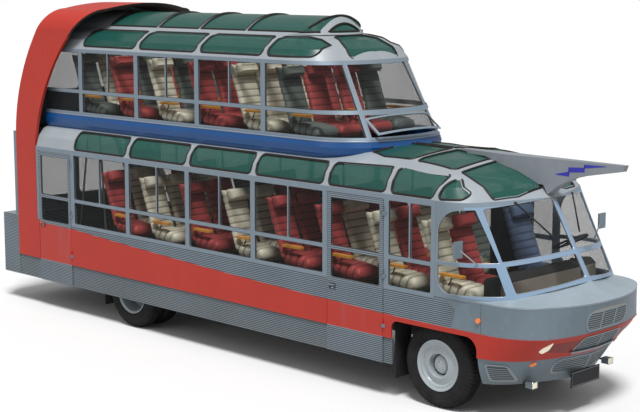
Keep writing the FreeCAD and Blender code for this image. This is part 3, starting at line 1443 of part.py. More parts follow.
def build_fittings():
    """Plate, mirrors, wipers and mud flaps."""
    skirt = nose_plans("skirt", "band_low")
    plate = block((s.nose_tip - 352, s.nose_tip - 340), (-280, 280), (340, 520))
    ears = [block((s.nose_tip - 500, s.nose_tip - 352), (y - 15, y + 15), (440, 470)) for y in (-160, 160)]
    plate = plate.fuse(ears).cut(plan_loft(skirt, 12 - s.fit))
    shape_node("number_plate", Part.Compound(sorted(plate.Solids, key=lambda solid: -solid.Volume)[:1]))
    screen = windscreen_plans()
    arms = []
    for side, word in SIDES:
        head = block((s.front_pillar + 558, s.front_pillar + 580), sorted((side * 1330, side * 1470)), (1890, 2080))
        foot = Vector(s.front_pillar + 645, side * 1118, 1772)
        tip = Vector(s.front_pillar + 570, side * 1380, 1985)
        arm = Part.makeCylinder(9, (tip - foot).Length, foot, tip - foot)
        arms.append(head.fuse(arm).cut(plan_loft(screen, -s.fit)))
    shape_node("mirrors", solids_of(*arms))
    wipers = []
    for side, word in SIDES:
        outline = [(side * 560, 2432), (side * 545, 2432), (side * 250, 2050), (side * 265, 2040)]
        blade = front_prism(outline, s.front_pillar + 300, s.front_pillar + 1600)
        pivot = Part.makeCylinder(16, 900, Vector(s.front_pillar + 300, side * 552, 2430), Vector(1, 0, 0))
        strip = blade.fuse(pivot).common(plan_loft(screen, -16)).cut(plan_loft(screen, 0))
        wipers.append(strip)
    shape_node("wipers", solids_of(*wipers))
    flaps = []
    for side, word in SIDES:
        y = sorted((side * (s.wheel_middle - 125), side * (s.wheel_middle + 155)))
        for x in (s.front_axle_place - s.wheel_radius - 115, s.rear_axle_place - s.wheel_radius - 60):
            flaps.append(block((x, x + 12), y, (250, s.floor_under)))
    shape_node("mud_flaps", Part.Compound(flaps))


def build():
    """Model every sub-part; later ones are trimmed to fit those before them."""
    build_chassis()
    build_axles()
    build_wheels()
    build_sides()
    build_lower_frames()
    build_nose()
    build_windscreen()
    build_lower_roof()
    build_fin()
    build_tub()
    build_upper_frame()
    build_upper_roof()
    build_hoop()
    build_rear()
    build_doors()
    build_floors()
    build_staircase()
    build_seats()
    build_cab()
    build_grilles()
    build_lamps()
    build_fittings()


build()
doc.recompute()

# ---------------------------------------------------------------- checks and export
for thing in doc.Objects:
    bad = [state for state in thing.State if state in ("Invalid", "Error")]
    if bad:
        raise RuntimeError(f"{thing.Label}: {bad}")
for name, thing in nodes.items():
    if thing.Shape.isNull() or not thing.Shape.isValid() or not thing.Shape.Solids:
        raise RuntimeError(f"{name}: the shape is null, not valid or has no solid")
os.makedirs("parts", exist_ok=True)
for name, thing in nodes.items():
    thing.Shape.exportStep(f"parts/{name}.step")
print(len(nodes), "sub-parts")
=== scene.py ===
"""Looks of the double decker bus: paint, glass, rubber, padded seats and small fittings.

Every size is in metres, in the model's own frame: +X forward, +Y to the left, +Z up.
"""
import logging
import math
from dataclasses import dataclass
from enum import Enum
from typing import Any, Callable, ClassVar, Dict, Iterable, List, Optional, Sequence, Tuple, Union

import bmesh
import bpy
from mathutils import Matrix, Vector, noise
from mathutils.bvhtree import BVHTree


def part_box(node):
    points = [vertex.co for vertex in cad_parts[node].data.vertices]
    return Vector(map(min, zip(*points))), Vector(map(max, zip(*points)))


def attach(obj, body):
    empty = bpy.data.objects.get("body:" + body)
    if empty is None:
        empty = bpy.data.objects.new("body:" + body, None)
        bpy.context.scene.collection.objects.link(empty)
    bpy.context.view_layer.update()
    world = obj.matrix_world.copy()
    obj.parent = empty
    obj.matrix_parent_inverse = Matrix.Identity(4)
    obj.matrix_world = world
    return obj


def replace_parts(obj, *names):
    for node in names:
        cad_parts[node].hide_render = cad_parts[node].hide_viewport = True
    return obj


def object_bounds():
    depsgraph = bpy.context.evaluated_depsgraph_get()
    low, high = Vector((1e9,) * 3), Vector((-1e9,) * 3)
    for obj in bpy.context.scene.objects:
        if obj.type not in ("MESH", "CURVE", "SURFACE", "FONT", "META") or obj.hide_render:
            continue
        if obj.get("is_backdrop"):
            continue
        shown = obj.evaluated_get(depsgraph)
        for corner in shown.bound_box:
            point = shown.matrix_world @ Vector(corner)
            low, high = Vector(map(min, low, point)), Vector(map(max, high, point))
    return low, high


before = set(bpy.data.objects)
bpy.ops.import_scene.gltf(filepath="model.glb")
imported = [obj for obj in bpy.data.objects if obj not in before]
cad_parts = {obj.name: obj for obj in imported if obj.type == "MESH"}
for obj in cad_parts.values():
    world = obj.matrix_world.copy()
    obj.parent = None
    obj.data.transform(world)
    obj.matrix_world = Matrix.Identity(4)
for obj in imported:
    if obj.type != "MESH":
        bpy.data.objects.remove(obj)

logging.basicConfig(level=logging.INFO, format="%(message)s")
LOG = logging.getLogger("bus")

Colour = Tuple[float, float, float]
Point = Tuple[float, float, float]
Number = Union[int, float]
Outline = Sequence[Tuple[float, float]]
# Points of a path, each with the direction out of the surface that it lies on.
Run = List[Tuple[Vector, Vector]]
# Says from a face's normal and its middle whether the face counts.
Choice = Callable[[Vector, Vector], bool]

SIDES = ((-1, "right"), (1, "left"))
# The doors and the side of the bus that each is on.
DOORS = {"front_door": -1, "rear_door": -1, "driver_door": 1}
# How far the doors' outer skin is off the centre.
DOOR_SKIN = 1.193

# The red band: its bottom edge, the bend of its top edge (x, z), and how fast the top edge falls
# forward, ahead of and behind the bend.
BAND_LOW = 0.745
BAND_BEND = (-0.52, 1.139)
BAND_FALL_FRONT = 0.03362
BAND_FALL_REAR = 0.0493

# The pressed flutes: height of the first one, the step between them, and the heights between
# which the skirts, the waist and the luggage box carry them.
FLUTE_START = 0.437
FLUTE_PITCH = 0.0235
SKIRT_FLUTES = (0.43, 0.738)
WAIST_FLUTES = (0.95, 1.322)
BOX_FLUTES = (0.43, 1.34)

# How far the luggage box's flat back lies ahead of its rearmost point.
BOX_BACK = 0.024

# The windscreen's bars: where they start along the bus, and their lowest and highest point.
BARS_REAR = 3.93
BARS_LOW = 1.405
BARS_HIGH = 2.41

# The closed middle of the lower roof's crown: where it leaves the tub, the front of its panes,
# its half width, the half width of its middle rib and the height of its edge.
CROWN_REAR = 2.2
CROWN_CROSS = 2.855
CROWN_HALF = 0.343
CROWN_RIB = 0.045
CROWN_HIGH = 2.8965


def band_top(x: float) -> float:
    """Height of the red band's top edge at a place along the bus."""
    return BAND_BEND[1] - (x - BAND_BEND[0]) * (BAND_FALL_FRONT if x > BAND_BEND[0] else BAND_FALL_REAR)


def tint(text: str) -> Colour:
    """Linear colour of a paint given as six hexadecimal digits."""
    parts = [int(text[place:place + 2], 16) / 255 for place in (0, 2, 4)]
    return tuple(part / 12.92 if part <= 0.04045 else ((part + 0.055) / 1.055) ** 2.4 for part in parts)


def write_box(name: str, boxes: Dict[str, Any]) -> None:
    """Args:
        name: the key that the box is stored under.
        boxes: what has been stored so far; it is added to.
    """
    boxes[name] = [list(corner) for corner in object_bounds()]


def linked(name: str, data: bpy.types.ID) -> bpy.types.Object:
    """New object in the scene."""
    thing = bpy.data.objects.new(name, data)
    bpy.context.scene.collection.objects.link(thing)
    return thing


# ---------------------------------------------------------------- shader maths
def operator(operation: str, swapped: bool = False) -> Callable[["Term", Any], "Term"]:
    """Method of a term that joins it with another value.

    Args:
        operation: operation of the node that joins them.
        swapped: whether the term stands on the right.

    Returns:
        The method.
    """
    def join(term: "Term", other: Any) -> "Term":
        """Both values joined by one node."""
        return term.combine(operation, *((other, term) if swapped else (term, other)))

    return join


class Term:
    """A socket of a material, used as a number, vector or colour in Python expressions."""

    def __init__(self, graph: "Graph", socket: bpy.types.NodeSocket) -> None:
        """Wrap one output socket of a graph."""
        self.graph = graph
        self.socket = socket

    def combine(self, operation: str, first: Any, second: Any) -> "Term":
        """Join two values with one Math or Vector Math node.

        Args:
            operation: the node's operation.
            first: left value.
            second: right value.

        Returns:
            The result as a new term.
        """
        pair = (first, second)
        vectors = [value.socket.type != "VALUE" if isinstance(value, Term) else isinstance(value, tuple)
                   for value in pair]
        if any(vectors):
            pair = [(value,) * 3 if isinstance(value, (int, float)) else value for value in pair]
        kind = "ShaderNodeVectorMath" if any(vectors) else "ShaderNodeMath"
        return self.graph.node(kind, 0, dict(enumerate(pair)), operation=operation)

    __add__, __radd__ = operator("ADD"), operator("ADD", True)
    __sub__, __rsub__ = operator("SUBTRACT"), operator("SUBTRACT", True)
    __mul__, __rmul__ = operator("MULTIPLY"), operator("MULTIPLY", True)
    __gt__, __lt__ = operator("GREATER_THAN"), operator("LESS_THAN")
    power = operator("POWER")

    def cosine(self) -> "Term":
        """Cosine of this term."""
        return self.combine("COSINE", self, 0.0)

    def clamp(self) -> "Term":
        """This term held between zero and one."""
        return self.combine("MINIMUM", self.combine("MAXIMUM", self, 0.0), 1.0)

    def axis(self, name: str) -> "Term":
        """One of the X, Y and Z parts of a vector term."""
        return self.graph.node("ShaderNodeSeparateXYZ", name, {0: self})


class Graph:
    """The node tree of one material, with its main shader."""

    def __init__(self, name: str) -> None:
        """Start an empty material with one main shader.

        Args:
            name: name of the material.
        """
        self.material = bpy.data.materials.new(name)
        self.material.use_nodes = True
        self.tree = self.material.node_tree
        self.shader = self.tree.nodes["Principled BSDF"]
        self.place = self.node("ShaderNodeTexCoord", "Object")

    def fill(self, socket: bpy.types.NodeSocket, value: Any) -> None:
        """Link a term to a socket, or set the socket's own value.

        Args:
            socket: the input socket.
            value: number, tuple or term.
        """
        if isinstance(value, Term):
            self.tree.links.new(value.socket, socket)
        elif isinstance(value, tuple) and socket.type == "RGBA":
            socket.default_value = (*value, 1.0)[:4]
        else:
            socket.default_value = value

    def node(self, kind: str, output: Union[int, str],
             values: Optional[Dict[Union[int, str], Any]] = None, **settings: str) -> Term:
        """Make any node.

        Args:
            kind: the node's type.
            output: the output that is wanted.
            values: numbers, tuples or terms by input socket.
            settings: the node's settings, set before its sockets.

        Returns:
            The wanted output.
        """
        made = self.tree.nodes.new(kind)
        for key, value in settings.items():
            setattr(made, key, value)
        for key, value in (values or {}).items():
            self.fill(made.inputs[key], value)
        return Term(self, made.outputs[output])

    def mix(self, factor: Any, first: Any, second: Any) -> Term:
        """Blend two colours by a factor."""
        return self.node("ShaderNodeMix", 2, {"Factor": factor, 6: first, 7: second}, data_type="RGBA")

    def speckle(self, scale: Number, detail: Number = 4.0, stretch: Optional[Point] = None) -> Term:
        """Noise from 0 to 1 in the model's own space.

        Args:
            scale: how fine the noise is, in features a metre.
            detail: octaves of detail.
            stretch: factors along the three axes.

        Returns:
            The noise as a number.
        """
        place = self.place if stretch is None else self.place * stretch
        values = {"Vector": place, "Scale": scale, "Detail": detail, "Roughness": 0.55}
        return self.node("ShaderNodeTexNoise", 0, values)

    def waves(self, scale: Number, axis: str) -> Term:
        """Even bands along one axis, from 0 to 1."""
        values = {"Vector": self.place, "Scale": scale, "Distortion": 0.0}
        return self.node("ShaderNodeTexWave", "Fac", values, bands_direction=axis)

    def cells(self, scale: Number) -> Term:
        """Distance from the middle of the nearest cell, in the model's own space."""
        return self.node("ShaderNodeTexVoronoi", "Distance", {"Vector": self.place, "Scale": scale})

    def set(self, **values: Any) -> None:
        """Set or link sockets of the main shader, named with underscores for spaces."""
        for key, value in values.items():
            self.fill(self.shader.inputs[key.replace("_", " ")], value)

    def emboss(self, height: Term, strength: Number, depth: Number) -> None:
        """Bump the main shader's normal with a height term."""
        values = {"Height": height, "Strength": strength, "Distance": depth}
        self.set(Normal=self.node("ShaderNodeBump", "Normal", values))


# ---------------------------------------------------------------- finishes
@dataclass(frozen=True)
class Finish:
    """Common part of every finish: a name, a colour and one material, made once."""

    name: str
    colour: Colour
    made: ClassVar[Dict[str, bpy.types.Material]] = {}

    def toned(self, factor: float, lift: float = 0.0) -> Colour:
        """The finish's colour made darker or lighter."""
        return tuple(min(1.0, part * factor + lift) for part in self.colour)

    def dress(self, graph: Graph) -> None:
        """Fill the graph; each finish has its own way."""
        raise NotImplementedError

    def material(self) -> bpy.types.Material:
        """The finish as a material, made at its first use.

        Returns:
            The material.
        """
        if self.name not in Finish.made:
            graph = Graph(self.name)
            self.dress(graph)
            Finish.made[self.name] = graph.material
        return Finish.made[self.name]


@dataclass(frozen=True)
class Paint(Finish):
    """Sprayed coachwork paint with mottling, rain streaks, road dust low down and painted shade in the
    flutes' grooves.
    """

    rough: float = 0.34
    coat: float = 0.2
    metallic: float = 0.0
    mottle: float = 0.10
    dust: float = 0.25
    streak: float = 0.3
    band: Optional[Colour] = None
    bars: Optional[Colour] = None
    # Whether shade is painted into the grooves between the flutes.
    fluted: bool = False

    def dress(self, graph: Graph) -> None:
        """Lay the paint, the painted shade in the grooves and the painted band, then streaks and dust.

        Args:
            graph: the material's node tree.
        """
        cloud = graph.speckle(1.3, 5.0)
        fine = graph.speckle(24.0, 3.0)
        base = graph.mix(((cloud - 0.5) * 1.8 + 0.5).clamp(), self.toned(1 - self.mottle),
                         self.toned(1 + self.mottle))
        blotch = graph.speckle(9.0, 6.0)
        base = graph.mix(((blotch - 0.56) * 5.0).clamp() * self.mottle * 2.2, base, self.toned(1.35))
        height = graph.place.axis("Z")
        # Painted shade: a dark copy of the paint along the grooves between the pressed flutes.
        if self.fluted:
            wave = ((height - FLUTE_START) * (math.tau / FLUTE_PITCH)).cosine()
            base = graph.mix(((0.45 - wave) * 1.3).clamp() * 0.85, base, self.toned(0.12))
        if self.band:
            base = graph.mix(self.banded(graph, height), base, self.band)
        if self.bars:
            inside = (graph.place.axis("X") > BARS_REAR) * (height > BARS_LOW) * (height < BARS_HIGH)
            base = graph.mix(inside, base, self.bars)
        rain = graph.speckle(7.0, 3.0, (1.0, 1.0, 0.09))
        base = graph.mix(((rain - 0.5) * 2.2).clamp() * self.streak, base, self.toned(0.72))
        low = ((0.75 - height) * 1.6).clamp() * (0.35 + graph.speckle(5.0)) * self.dust
        base = graph.mix(low.clamp(), base, tint("7d766b"))
        graph.set(Base_Color=base, Roughness=(fine * 0.14 + (self.rough - 0.05) + low * 0.3).clamp(),
                  Metallic=self.metallic, Coat_Weight=self.coat, Coat_Roughness=0.14)
        graph.emboss(fine, 0.05, 0.002)

    @staticmethod
    def banded(graph: Graph, height: Term) -> Term:
        """Where the red band crosses a door.

        Args:
            graph: the material's node tree.
            height: height above the ground.

        Returns:
            One inside the band, else zero.
        """
        ahead = graph.place.axis("X")
        fore = ahead > BAND_BEND[0]
        falls = (BAND_FALL_FRONT, BAND_FALL_REAR)
        front, rear = (BAND_BEND[1] - (ahead - BAND_BEND[0]) * fall for fall in falls)
        return (height > BAND_LOW) * (height < fore * front + (1 - fore) * rear)


@dataclass(frozen=True)
class Metal(Finish):
    """Bare or polished metal with fine brushing along the bus and cloudy dulling."""

    rough: float = 0.3
    brush: float = 0.08
    metallic: float = 1.0

    def dress(self, graph: Graph) -> None:
        """Brushed grain and dull patches.

        Args:
            graph: the material's node tree.
        """
        grain = graph.speckle(60.0, 3.0, (0.15, 1.0, 1.0))
        dull = graph.speckle(6.0, 4.0)
        base = graph.mix((dull * 0.8).clamp(), self.colour, self.toned(0.78))
        graph.set(Base_Color=base, Metallic=self.metallic,
                  Roughness=(grain * self.brush + dull * 0.12 + (self.rough - 0.08)).clamp())
        graph.emboss(grain, 0.06, 0.001)


@dataclass(frozen=True)
class Rubber(Finish):
    """Black or brown rubber, dusty in its hollows."""

    rough: float = 0.62
    dust: float = 0.25

    def dress(self, graph: Graph) -> None:
        """Fine grain with grey dust.

        Args:
            graph: the material's node tree.
        """
        grain = graph.speckle(180.0, 2.0)
        patch = graph.speckle(4.0, 5.0)
        base = graph.mix(((patch - 0.4) * self.dust * 2).clamp(), self.colour, tint("6a655e"))
        graph.set(Base_Color=base, Roughness=(self.rough + grain * 0.16).clamp(), Specular_IOR_Level=0.4)
        graph.emboss(grain, 0.18, 0.0008)


@dataclass(frozen=True)
class Glass(Finish):
    """Tinted pane: its colour hides part of what lies behind, more so at a glancing angle.

    An inner face hides more to someone inside and nothing to someone outside, so that the far
    side's panes look smoky through the near ones.
    """

    hide: float
    inner: bool = False
    rough: float = 0.04
    coat: float = 0.4

    def dress(self, graph: Graph) -> None:
        """Tint, glancing reflection, a trace of dust, and light let through for the seats.

        Args:
            graph: the material's node tree.
        """
        glance = graph.node("ShaderNodeLayerWeight", "Facing", {"Blend": 0.35})
        dust = graph.speckle(3.0, 5.0)
        smear = ((dust - 0.55) * 0.25).clamp()
        base = graph.mix(smear, self.colour, tint("9aa3a3"))
        alpha = (glance.power(3.0) * (0.0 if self.inner else 0.3) + smear * 0.2 + self.hide).clamp()
        alpha = alpha * (1 - graph.node("ShaderNodeLightPath", "Is Shadow Ray") * 0.8)
        if self.inner:
            alpha = alpha * (1 - graph.node("ShaderNodeNewGeometry", "Backfacing"))
        graph.set(Base_Color=base, Alpha=alpha, Roughness=self.rough + dust * 0.05, IOR=1.5,
                  Coat_Weight=0.0 if self.inner else self.coat, Coat_Roughness=0.03)


@dataclass(frozen=True)
class Leather(Finish):
    """Padded leather cloth with grain, creases, worn light patches and a soft sheen."""

    rough: float = 0.48

    def dress(self, graph: Graph) -> None:
        """Grain cells with creases, scuffs and painted shade along the sewn channels.

        Args:
            graph: the material's node tree.
        """
        grain = graph.cells(210.0)
        crease = graph.speckle(16.0, 6.0)
        scuff = graph.speckle(5.0, 4.0)
        base = graph.mix(((scuff - 0.42) * 1.6).clamp(), self.colour, self.toned(1.3, 0.012))
        base = graph.mix(((0.42 - crease) * 4).clamp() * 0.35, base, self.toned(0.6))
        # Painted shade: a dark copy of the hide along the sewn channels.
        seam_shade = graph.node("ShaderNodeAttribute", "Fac", attribute_name="seam_shade")
        base = graph.mix(seam_shade * 0.85, base, self.toned(0.12))
        graph.set(Base_Color=base, Roughness=(self.rough + crease * 0.18 - scuff * 0.06).clamp(),
                  Sheen_Weight=0.12, Coat_Weight=0.08, Coat_Roughness=0.35)
        graph.emboss(grain * 0.4 + crease, 0.32, 0.0016)


@dataclass(frozen=True)
class Plastic(Finish):
    """Moulded or painted dull surface with a fine texture."""

    rough: float = 0.55
    grain: float = 90.0

    def dress(self, graph: Graph) -> None:
        """Fine pebbling and faint marks.

        Args:
            graph: the material's node tree.
        """
        fine = graph.speckle(self.grain, 3.0)
        mark = graph.speckle(4.5, 5.0)
        base = graph.mix((mark * 0.7).clamp(), self.toned(0.82), self.toned(1.15))
        graph.set(Base_Color=base, Roughness=(self.rough + fine * 0.15).clamp())
        graph.emboss(fine, 0.12, 0.001)


@dataclass(frozen=True)
class Lens(Finish):
    """Moulded lamp glass with fine ribs over a bright reflector."""

    glow: float = 0.12

    def dress(self, graph: Graph) -> None:
        """Ribs, a bright middle and a gloss coat.

        Args:
            graph: the material's node tree.
        """
        ribs = graph.waves(55.0, "Y")
        base = graph.mix((ribs * 0.45 + graph.cells(60.0) * 0.5).clamp(), self.colour, self.toned(1.5, 0.05))
        graph.set(Base_Color=base, Roughness=0.08 + ribs * 0.08, Coat_Weight=1.0, Coat_Roughness=0.03,
                  Emission_Color=base, Emission_Strength=self.glow)
        graph.emboss(ribs, 0.3, 0.002)


SHEET_GREY = tint("909fab")
BAND_RED = tint("c43526")


class Shades(Enum):
    """Every finish of the bus."""

    BODY = Paint("body_grey_blue", tint("788893"), rough=0.4, mottle=0.16)
    FLUTE = Paint("fluted_sheet", SHEET_GREY, rough=0.40, metallic=0.1, mottle=0.10, fluted=True)
    # Lighter copy of the body paint for the nose's upward faces: painted light from above.
    LIT_SHELF = Paint("shelf_painted_light", tint("9caab3"), rough=0.36, mottle=0.14, dust=0.5)
    # Darker copy of the fluted sheet for the skirts below the band: painted shade.
    SHADED_SKIRT = Paint("skirt_painted_shade", tint("88969f"), rough=0.42, metallic=0.1, mottle=0.12, fluted=True)
    DOOR = Paint("door_paint", SHEET_GREY, rough=0.42, band=BAND_RED, fluted=True)
    RAIL = Metal("window_rails", tint("93a3b0"), rough=0.46, metallic=0.3)
    COVE = Paint("cove_ribs", tint("a2aab0"), rough=0.40, mottle=0.08, streak=0.15)
    RED = Paint("band_red", BAND_RED, rough=0.5, coat=0.1, mottle=0.06, dust=0.12, streak=0.25)
    BLUE = Paint("tub_blue", tint("0d4f8e"), rough=0.36, coat=0.3, mottle=0.08, streak=0.15)
    FIN = Paint("fin_grey", tint("8e949c"), rough=0.42, mottle=0.14)
    ZIGZAG = Paint("zigzag_blue", tint("3336b4"), rough=0.4, streak=0.0)
    SCREEN = Paint("windscreen_blue", tint("7f8f9b"), rough=0.38, streak=0.1, bars=tint("8ba5bf"))
    CLEAR = Glass("smoky_glass", tint("5a5d5c"), 0.10)
    CLEAR_INNER = Glass("smoky_glass_inner", tint("76797a"), 0.72, True)
    SCREEN_GLASS = Glass("screen_glass", tint("5c6060"), 0.08)
    SCREEN_INNER = Glass("screen_glass_inner", tint("808384"), 0.6, True)
    GREEN = Glass("green_glass", tint("255c53"), 0.68, rough=0.2, coat=0.05)
    GASKET = Rubber("black_gasket", tint("241c1a"), rough=0.5, dust=0.1)
    BEAD = Metal("bright_bead", tint("b4bfca"), rough=0.34, metallic=0.6)
    TYRE = Rubber("tyre_rubber", tint("1d1d1f"), rough=0.78, dust=0.22)
    RIM = Paint("wheel_grey", tint("b4bfc4"), rough=0.36, coat=0.3, mottle=0.14, dust=0.2)
    CHROME = Metal("bright_metal", tint("d5dade"), rough=0.16, brush=0.04)
    GRILLE = Metal("grille_metal", tint("a9b3b9"), rough=0.38, metallic=0.6)
    GRILLE_BACK = Plastic("grille_back", tint("5e6c74"), rough=0.6)
    # Dark red for the lamp hollows and the rear door's pull: painted shade.
    DARK_RED_SHADE = Paint("dark_red_painted_shade", tint("8c2018"), rough=0.4, dust=0.0, streak=0.0)
    SEAM = Plastic("seam_shadow", tint("2f373e"), rough=0.8)
    # Near black ring on the front rims: painted shade of their groove.
    RIM_GROOVE_SHADE = Plastic("rim_groove_painted_shade", tint("17181b"), rough=0.8)
    CHASSIS = Paint("chassis_black", tint("2a2b2d"), rough=0.6, coat=0.0, mottle=0.2, dust=0.6, streak=0.0)
    ENGINE = Metal("cast_block", tint("4b4d4e"), rough=0.6, metallic=0.6)
    FLOOR = Plastic("linoleum", tint("3a3c3d"), rough=0.6, grain=40.0)
    DASH = Plastic("dash_cloth", tint("a9a195"), rough=0.7, grain=140.0)
    DARK = Plastic("dark_panel", tint("2c2b2b"), rough=0.7)
    STAIR = Paint("stair_white", tint("d9dcde"), rough=0.4, dust=0.0, streak=0.2)
    MAROON = Leather("maroon_hide", tint("bd4a48"))
    CREAM = Leather("cream_hide", tint("f0ead0"))
    OLIVE = Leather("green_grey_hide", tint("6a756f"))
    CAB_HIDE = Leather("blue_grey_hide", tint("5a6d8c"))
    TAN = Leather("tan_pad", tint("f0a232"), rough=0.42)
    BRACKET = Metal("dark_bracket", tint("3a3a3b"), rough=0.5, metallic=0.5)
    HEADLAMP = Lens("headlamp_glass", tint("f1e3c0"), glow=0.35)
    AMBER = Lens("amber_glass", tint("e06a1e"), glow=0.22)
    RUBY = Lens("ruby_glass", tint("a01512"), glow=0.1)
    PLATE = Plastic("plate_black", tint("191b20"), rough=0.4)
    MIRROR = Metal("mirror_glass", tint("e6ecef"), rough=0.05, brush=0.01)
    FLAP = Rubber("flap_rubber", tint("222326"), rough=0.7)
    # Dark brown for the hoop's faces toward the bus: painted shade.
    HOOP_SHADE = Plastic("hoop_painted_shade", tint("4a3a36"), rough=0.7)
    DIAL = Plastic("dial_face", tint("d8d5c8"), rough=0.35)

    def material(self) -> bpy.types.Material:
        """The finish as a material."""
        return self.value.material()


# ---------------------------------------------------------------- meshes
def grid(rows: int, columns: int, start: int = 0) -> List[Tuple[int, int, int, int]]:
    """Faces of a sheet whose points are laid row by row.

    Args:
        rows: how many faces lie one above the other.
        columns: how many faces lie side by side.
        start: place of the sheet's first point.

    Returns:
        The four corners of each face.
    """
    wide = columns + 1
    firsts = [start + row * wide + column for row in range(rows) for column in range(columns)]
    return [(first, first + 1, first + 1 + wide, first + wide) for first in firsts]


def carried(points: Iterable[Point], up: Point) -> Run:
    """Path whose outward direction is the same all along."""
    return [(Vector(point), Vector(up)) for point in points]


def dot_section(radius: float, sides: int = 6, lift: float = 0.0) -> Outline:
    """Round section with its middle lifted off the path."""
    turns = [math.tau * (place + 0.5) / sides for place in range(sides)]
    return [(radius * math.cos(turn), radius * math.sin(turn) + lift) for turn in turns]


def half_round(width: float, height: float) -> Outline:
    """Low rib section that stands on the skin."""
    half = width / 2
    shoulder, high = half * 0.62, height * 0.75
    return [(-half, -0.002), (half, -0.002), (shoulder, high), (0.0, height), (-shoulder, high)]


def box_outline(low: float, high: float, bottom: float, top: float, taper: float = 0.0) -> Outline:
    """Four corners, with the upper two drawn in by the taper."""
    return (low, bottom), (high, bottom), (high - taper, top), (low + taper, top)


class Maker:
    """Gathers points and faces, then turns them into one smooth piece."""

    def __init__(self) -> None:
        """Start with nothing."""
        self.points: List[Vector] = []
        self.faces: List[Tuple[int, ...]] = []
        self.slots: List[int] = []

    def add(self, points: Iterable[Vector], faces: Iterable[Sequence[int]], slot: int = 0) -> None:
        """Add points and the faces between them.

        Args:
            points: new points.
            faces: faces as places in points.
            slot: place in the piece's list of finishes.
        """
        start = len(self.points)
        self.points += [Vector(point) for point in points]
        for face in faces:
            self.faces.append(tuple(start + place for place in face))
            self.slots.append(slot)

    def sweep(self, run: Run, section: Outline, closed: bool = False, slot: int = 0) -> None:
        """Run a section along a path.

        Args:
            run: points of the path with their outward directions.
            section: closed outline as (sideways, outward) offsets.
            closed: whether the path returns to its start.
            slot: place in the piece's list of finishes.
        """
        count, size = len(run), len(section)
        points = []
        for place, (point, out) in enumerate(run):
            before = run[place - 1][0] if place or closed else point
            after = run[(place + 1) % count][0] if place < count - 1 or closed else point
            along = (after - before).normalized()
            up = (out - along * out.dot(along)).normalized()
            side = along.cross(up)
            points += [point + side * u + up * v for u, v in section]
        faces = []
        for ring in range(count if closed else count - 1):
            here, other = ring * size, (ring + 1) % count * size
            for place in range(size):
                beside = (place + 1) % size
                faces.append((here + place, here + beside, other + beside, other + place))
        if not closed:
            faces.append(tuple(range(size))[::-1])
            faces.append(tuple((count - 1) * size + place for place in range(size)))
        self.add(points, faces, slot)

    def lathe(self, outline: Outline, middle: Vector, axis: Vector, steps: int = 48, slot: int = 0,
              shape: Optional[Callable[[float, float, float], float]] = None) -> None:
        """Turn an outline about an axis.

        Args:
            outline: (radius, along) pairs; a radius of zero closes the end.
            middle: point on the axis where along is zero.
            axis: direction of the axis.
            steps: points round the axis.
            slot: place in the piece's list of finishes.
            shape: change of radius from (turn, radius, along).
        """
        axis = axis.normalized()
        first = axis.orthogonal().normalized()
        second = axis.cross(first)
        points = []
        for step in range(steps):
            turn = math.tau * step / steps
            out = first * math.cos(turn) + second * math.sin(turn)
            for radius, along in outline:
                grow = shape(turn, radius, along) if shape else 0.0
                points.append(middle + axis * along + out * (radius + grow))
        size = len(outline)
        faces = []
        for step in range(steps):
            here, other = step * size, (step + 1) % steps * size
            for place in range(size - 1):
                faces.append((here + place, other + place, other + place + 1, here + place + 1))
        self.add(points, faces, slot)

    def slab(self, low: Point, high: Point, round_by: float, slot: int = 0) -> None:
        """Add a block with softened edges.

        Args:
            low: lowest corner.
            high: highest corner.
            round_by: size of the softened edges.
            slot: place in the piece's list of finishes.
        """
        mesh = bmesh.new()
        centre = (Vector(low) + Vector(high)) / 2
        size = Vector(high) - Vector(low)
        spread = Matrix.Diagonal((*size, 1.0))
        bmesh.ops.create_cube(mesh, size=1.0, matrix=Matrix.Translation(centre) @ spread)
        reach = min(round_by, min(size) * 0.45)
        bmesh.ops.bevel(mesh, geom=mesh.edges[:], offset=reach, segments=2, profile=0.5, affect="EDGES")
        faces = [[vert.index for vert in face.verts] for face in mesh.faces]
        self.add([vert.co for vert in mesh.verts], faces, slot)
        mesh.free()

    def piece(self, name: str, body: str, finishes: Sequence[Shades], sharp: float = 35.0,
              slot: Optional[str] = None) -> bpy.types.Object:
        """Make the object, dress it and let it ride on a body.

        Args:
            name: name of the piece.
            body: body that it moves with.
            finishes: its finishes in the order of their slots.
            sharp: edges that bend by more degrees than this stay sharp.
            slot: name of a material slot; not used.

        Returns:
            The new object.
        """
        mesh = bpy.data.meshes.new(name)
        mesh.from_pydata(self.points, [], self.faces)
        for finish in finishes:
            mesh.materials.append(finish.material())
        mesh.polygons.foreach_set("material_index", self.slots)
        work = bmesh.new()
        work.from_mesh(mesh)
        bmesh.ops.remove_doubles(work, verts=work.verts, dist=1e-6)
        bmesh.ops.recalc_face_normals(work, faces=work.faces)
        for edge in work.edges:
            edge.smooth = not (edge.is_manifold and edge.calc_face_angle(0.0) > math.radians(sharp))
        work.to_mesh(mesh)
        work.free()
        mesh.polygons.foreach_set("use_smooth", [True] * len(mesh.polygons))
        thing = linked(name, mesh)
        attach(thing, body)
        LOG.info("piece %s on %s", name, body)
        return thing


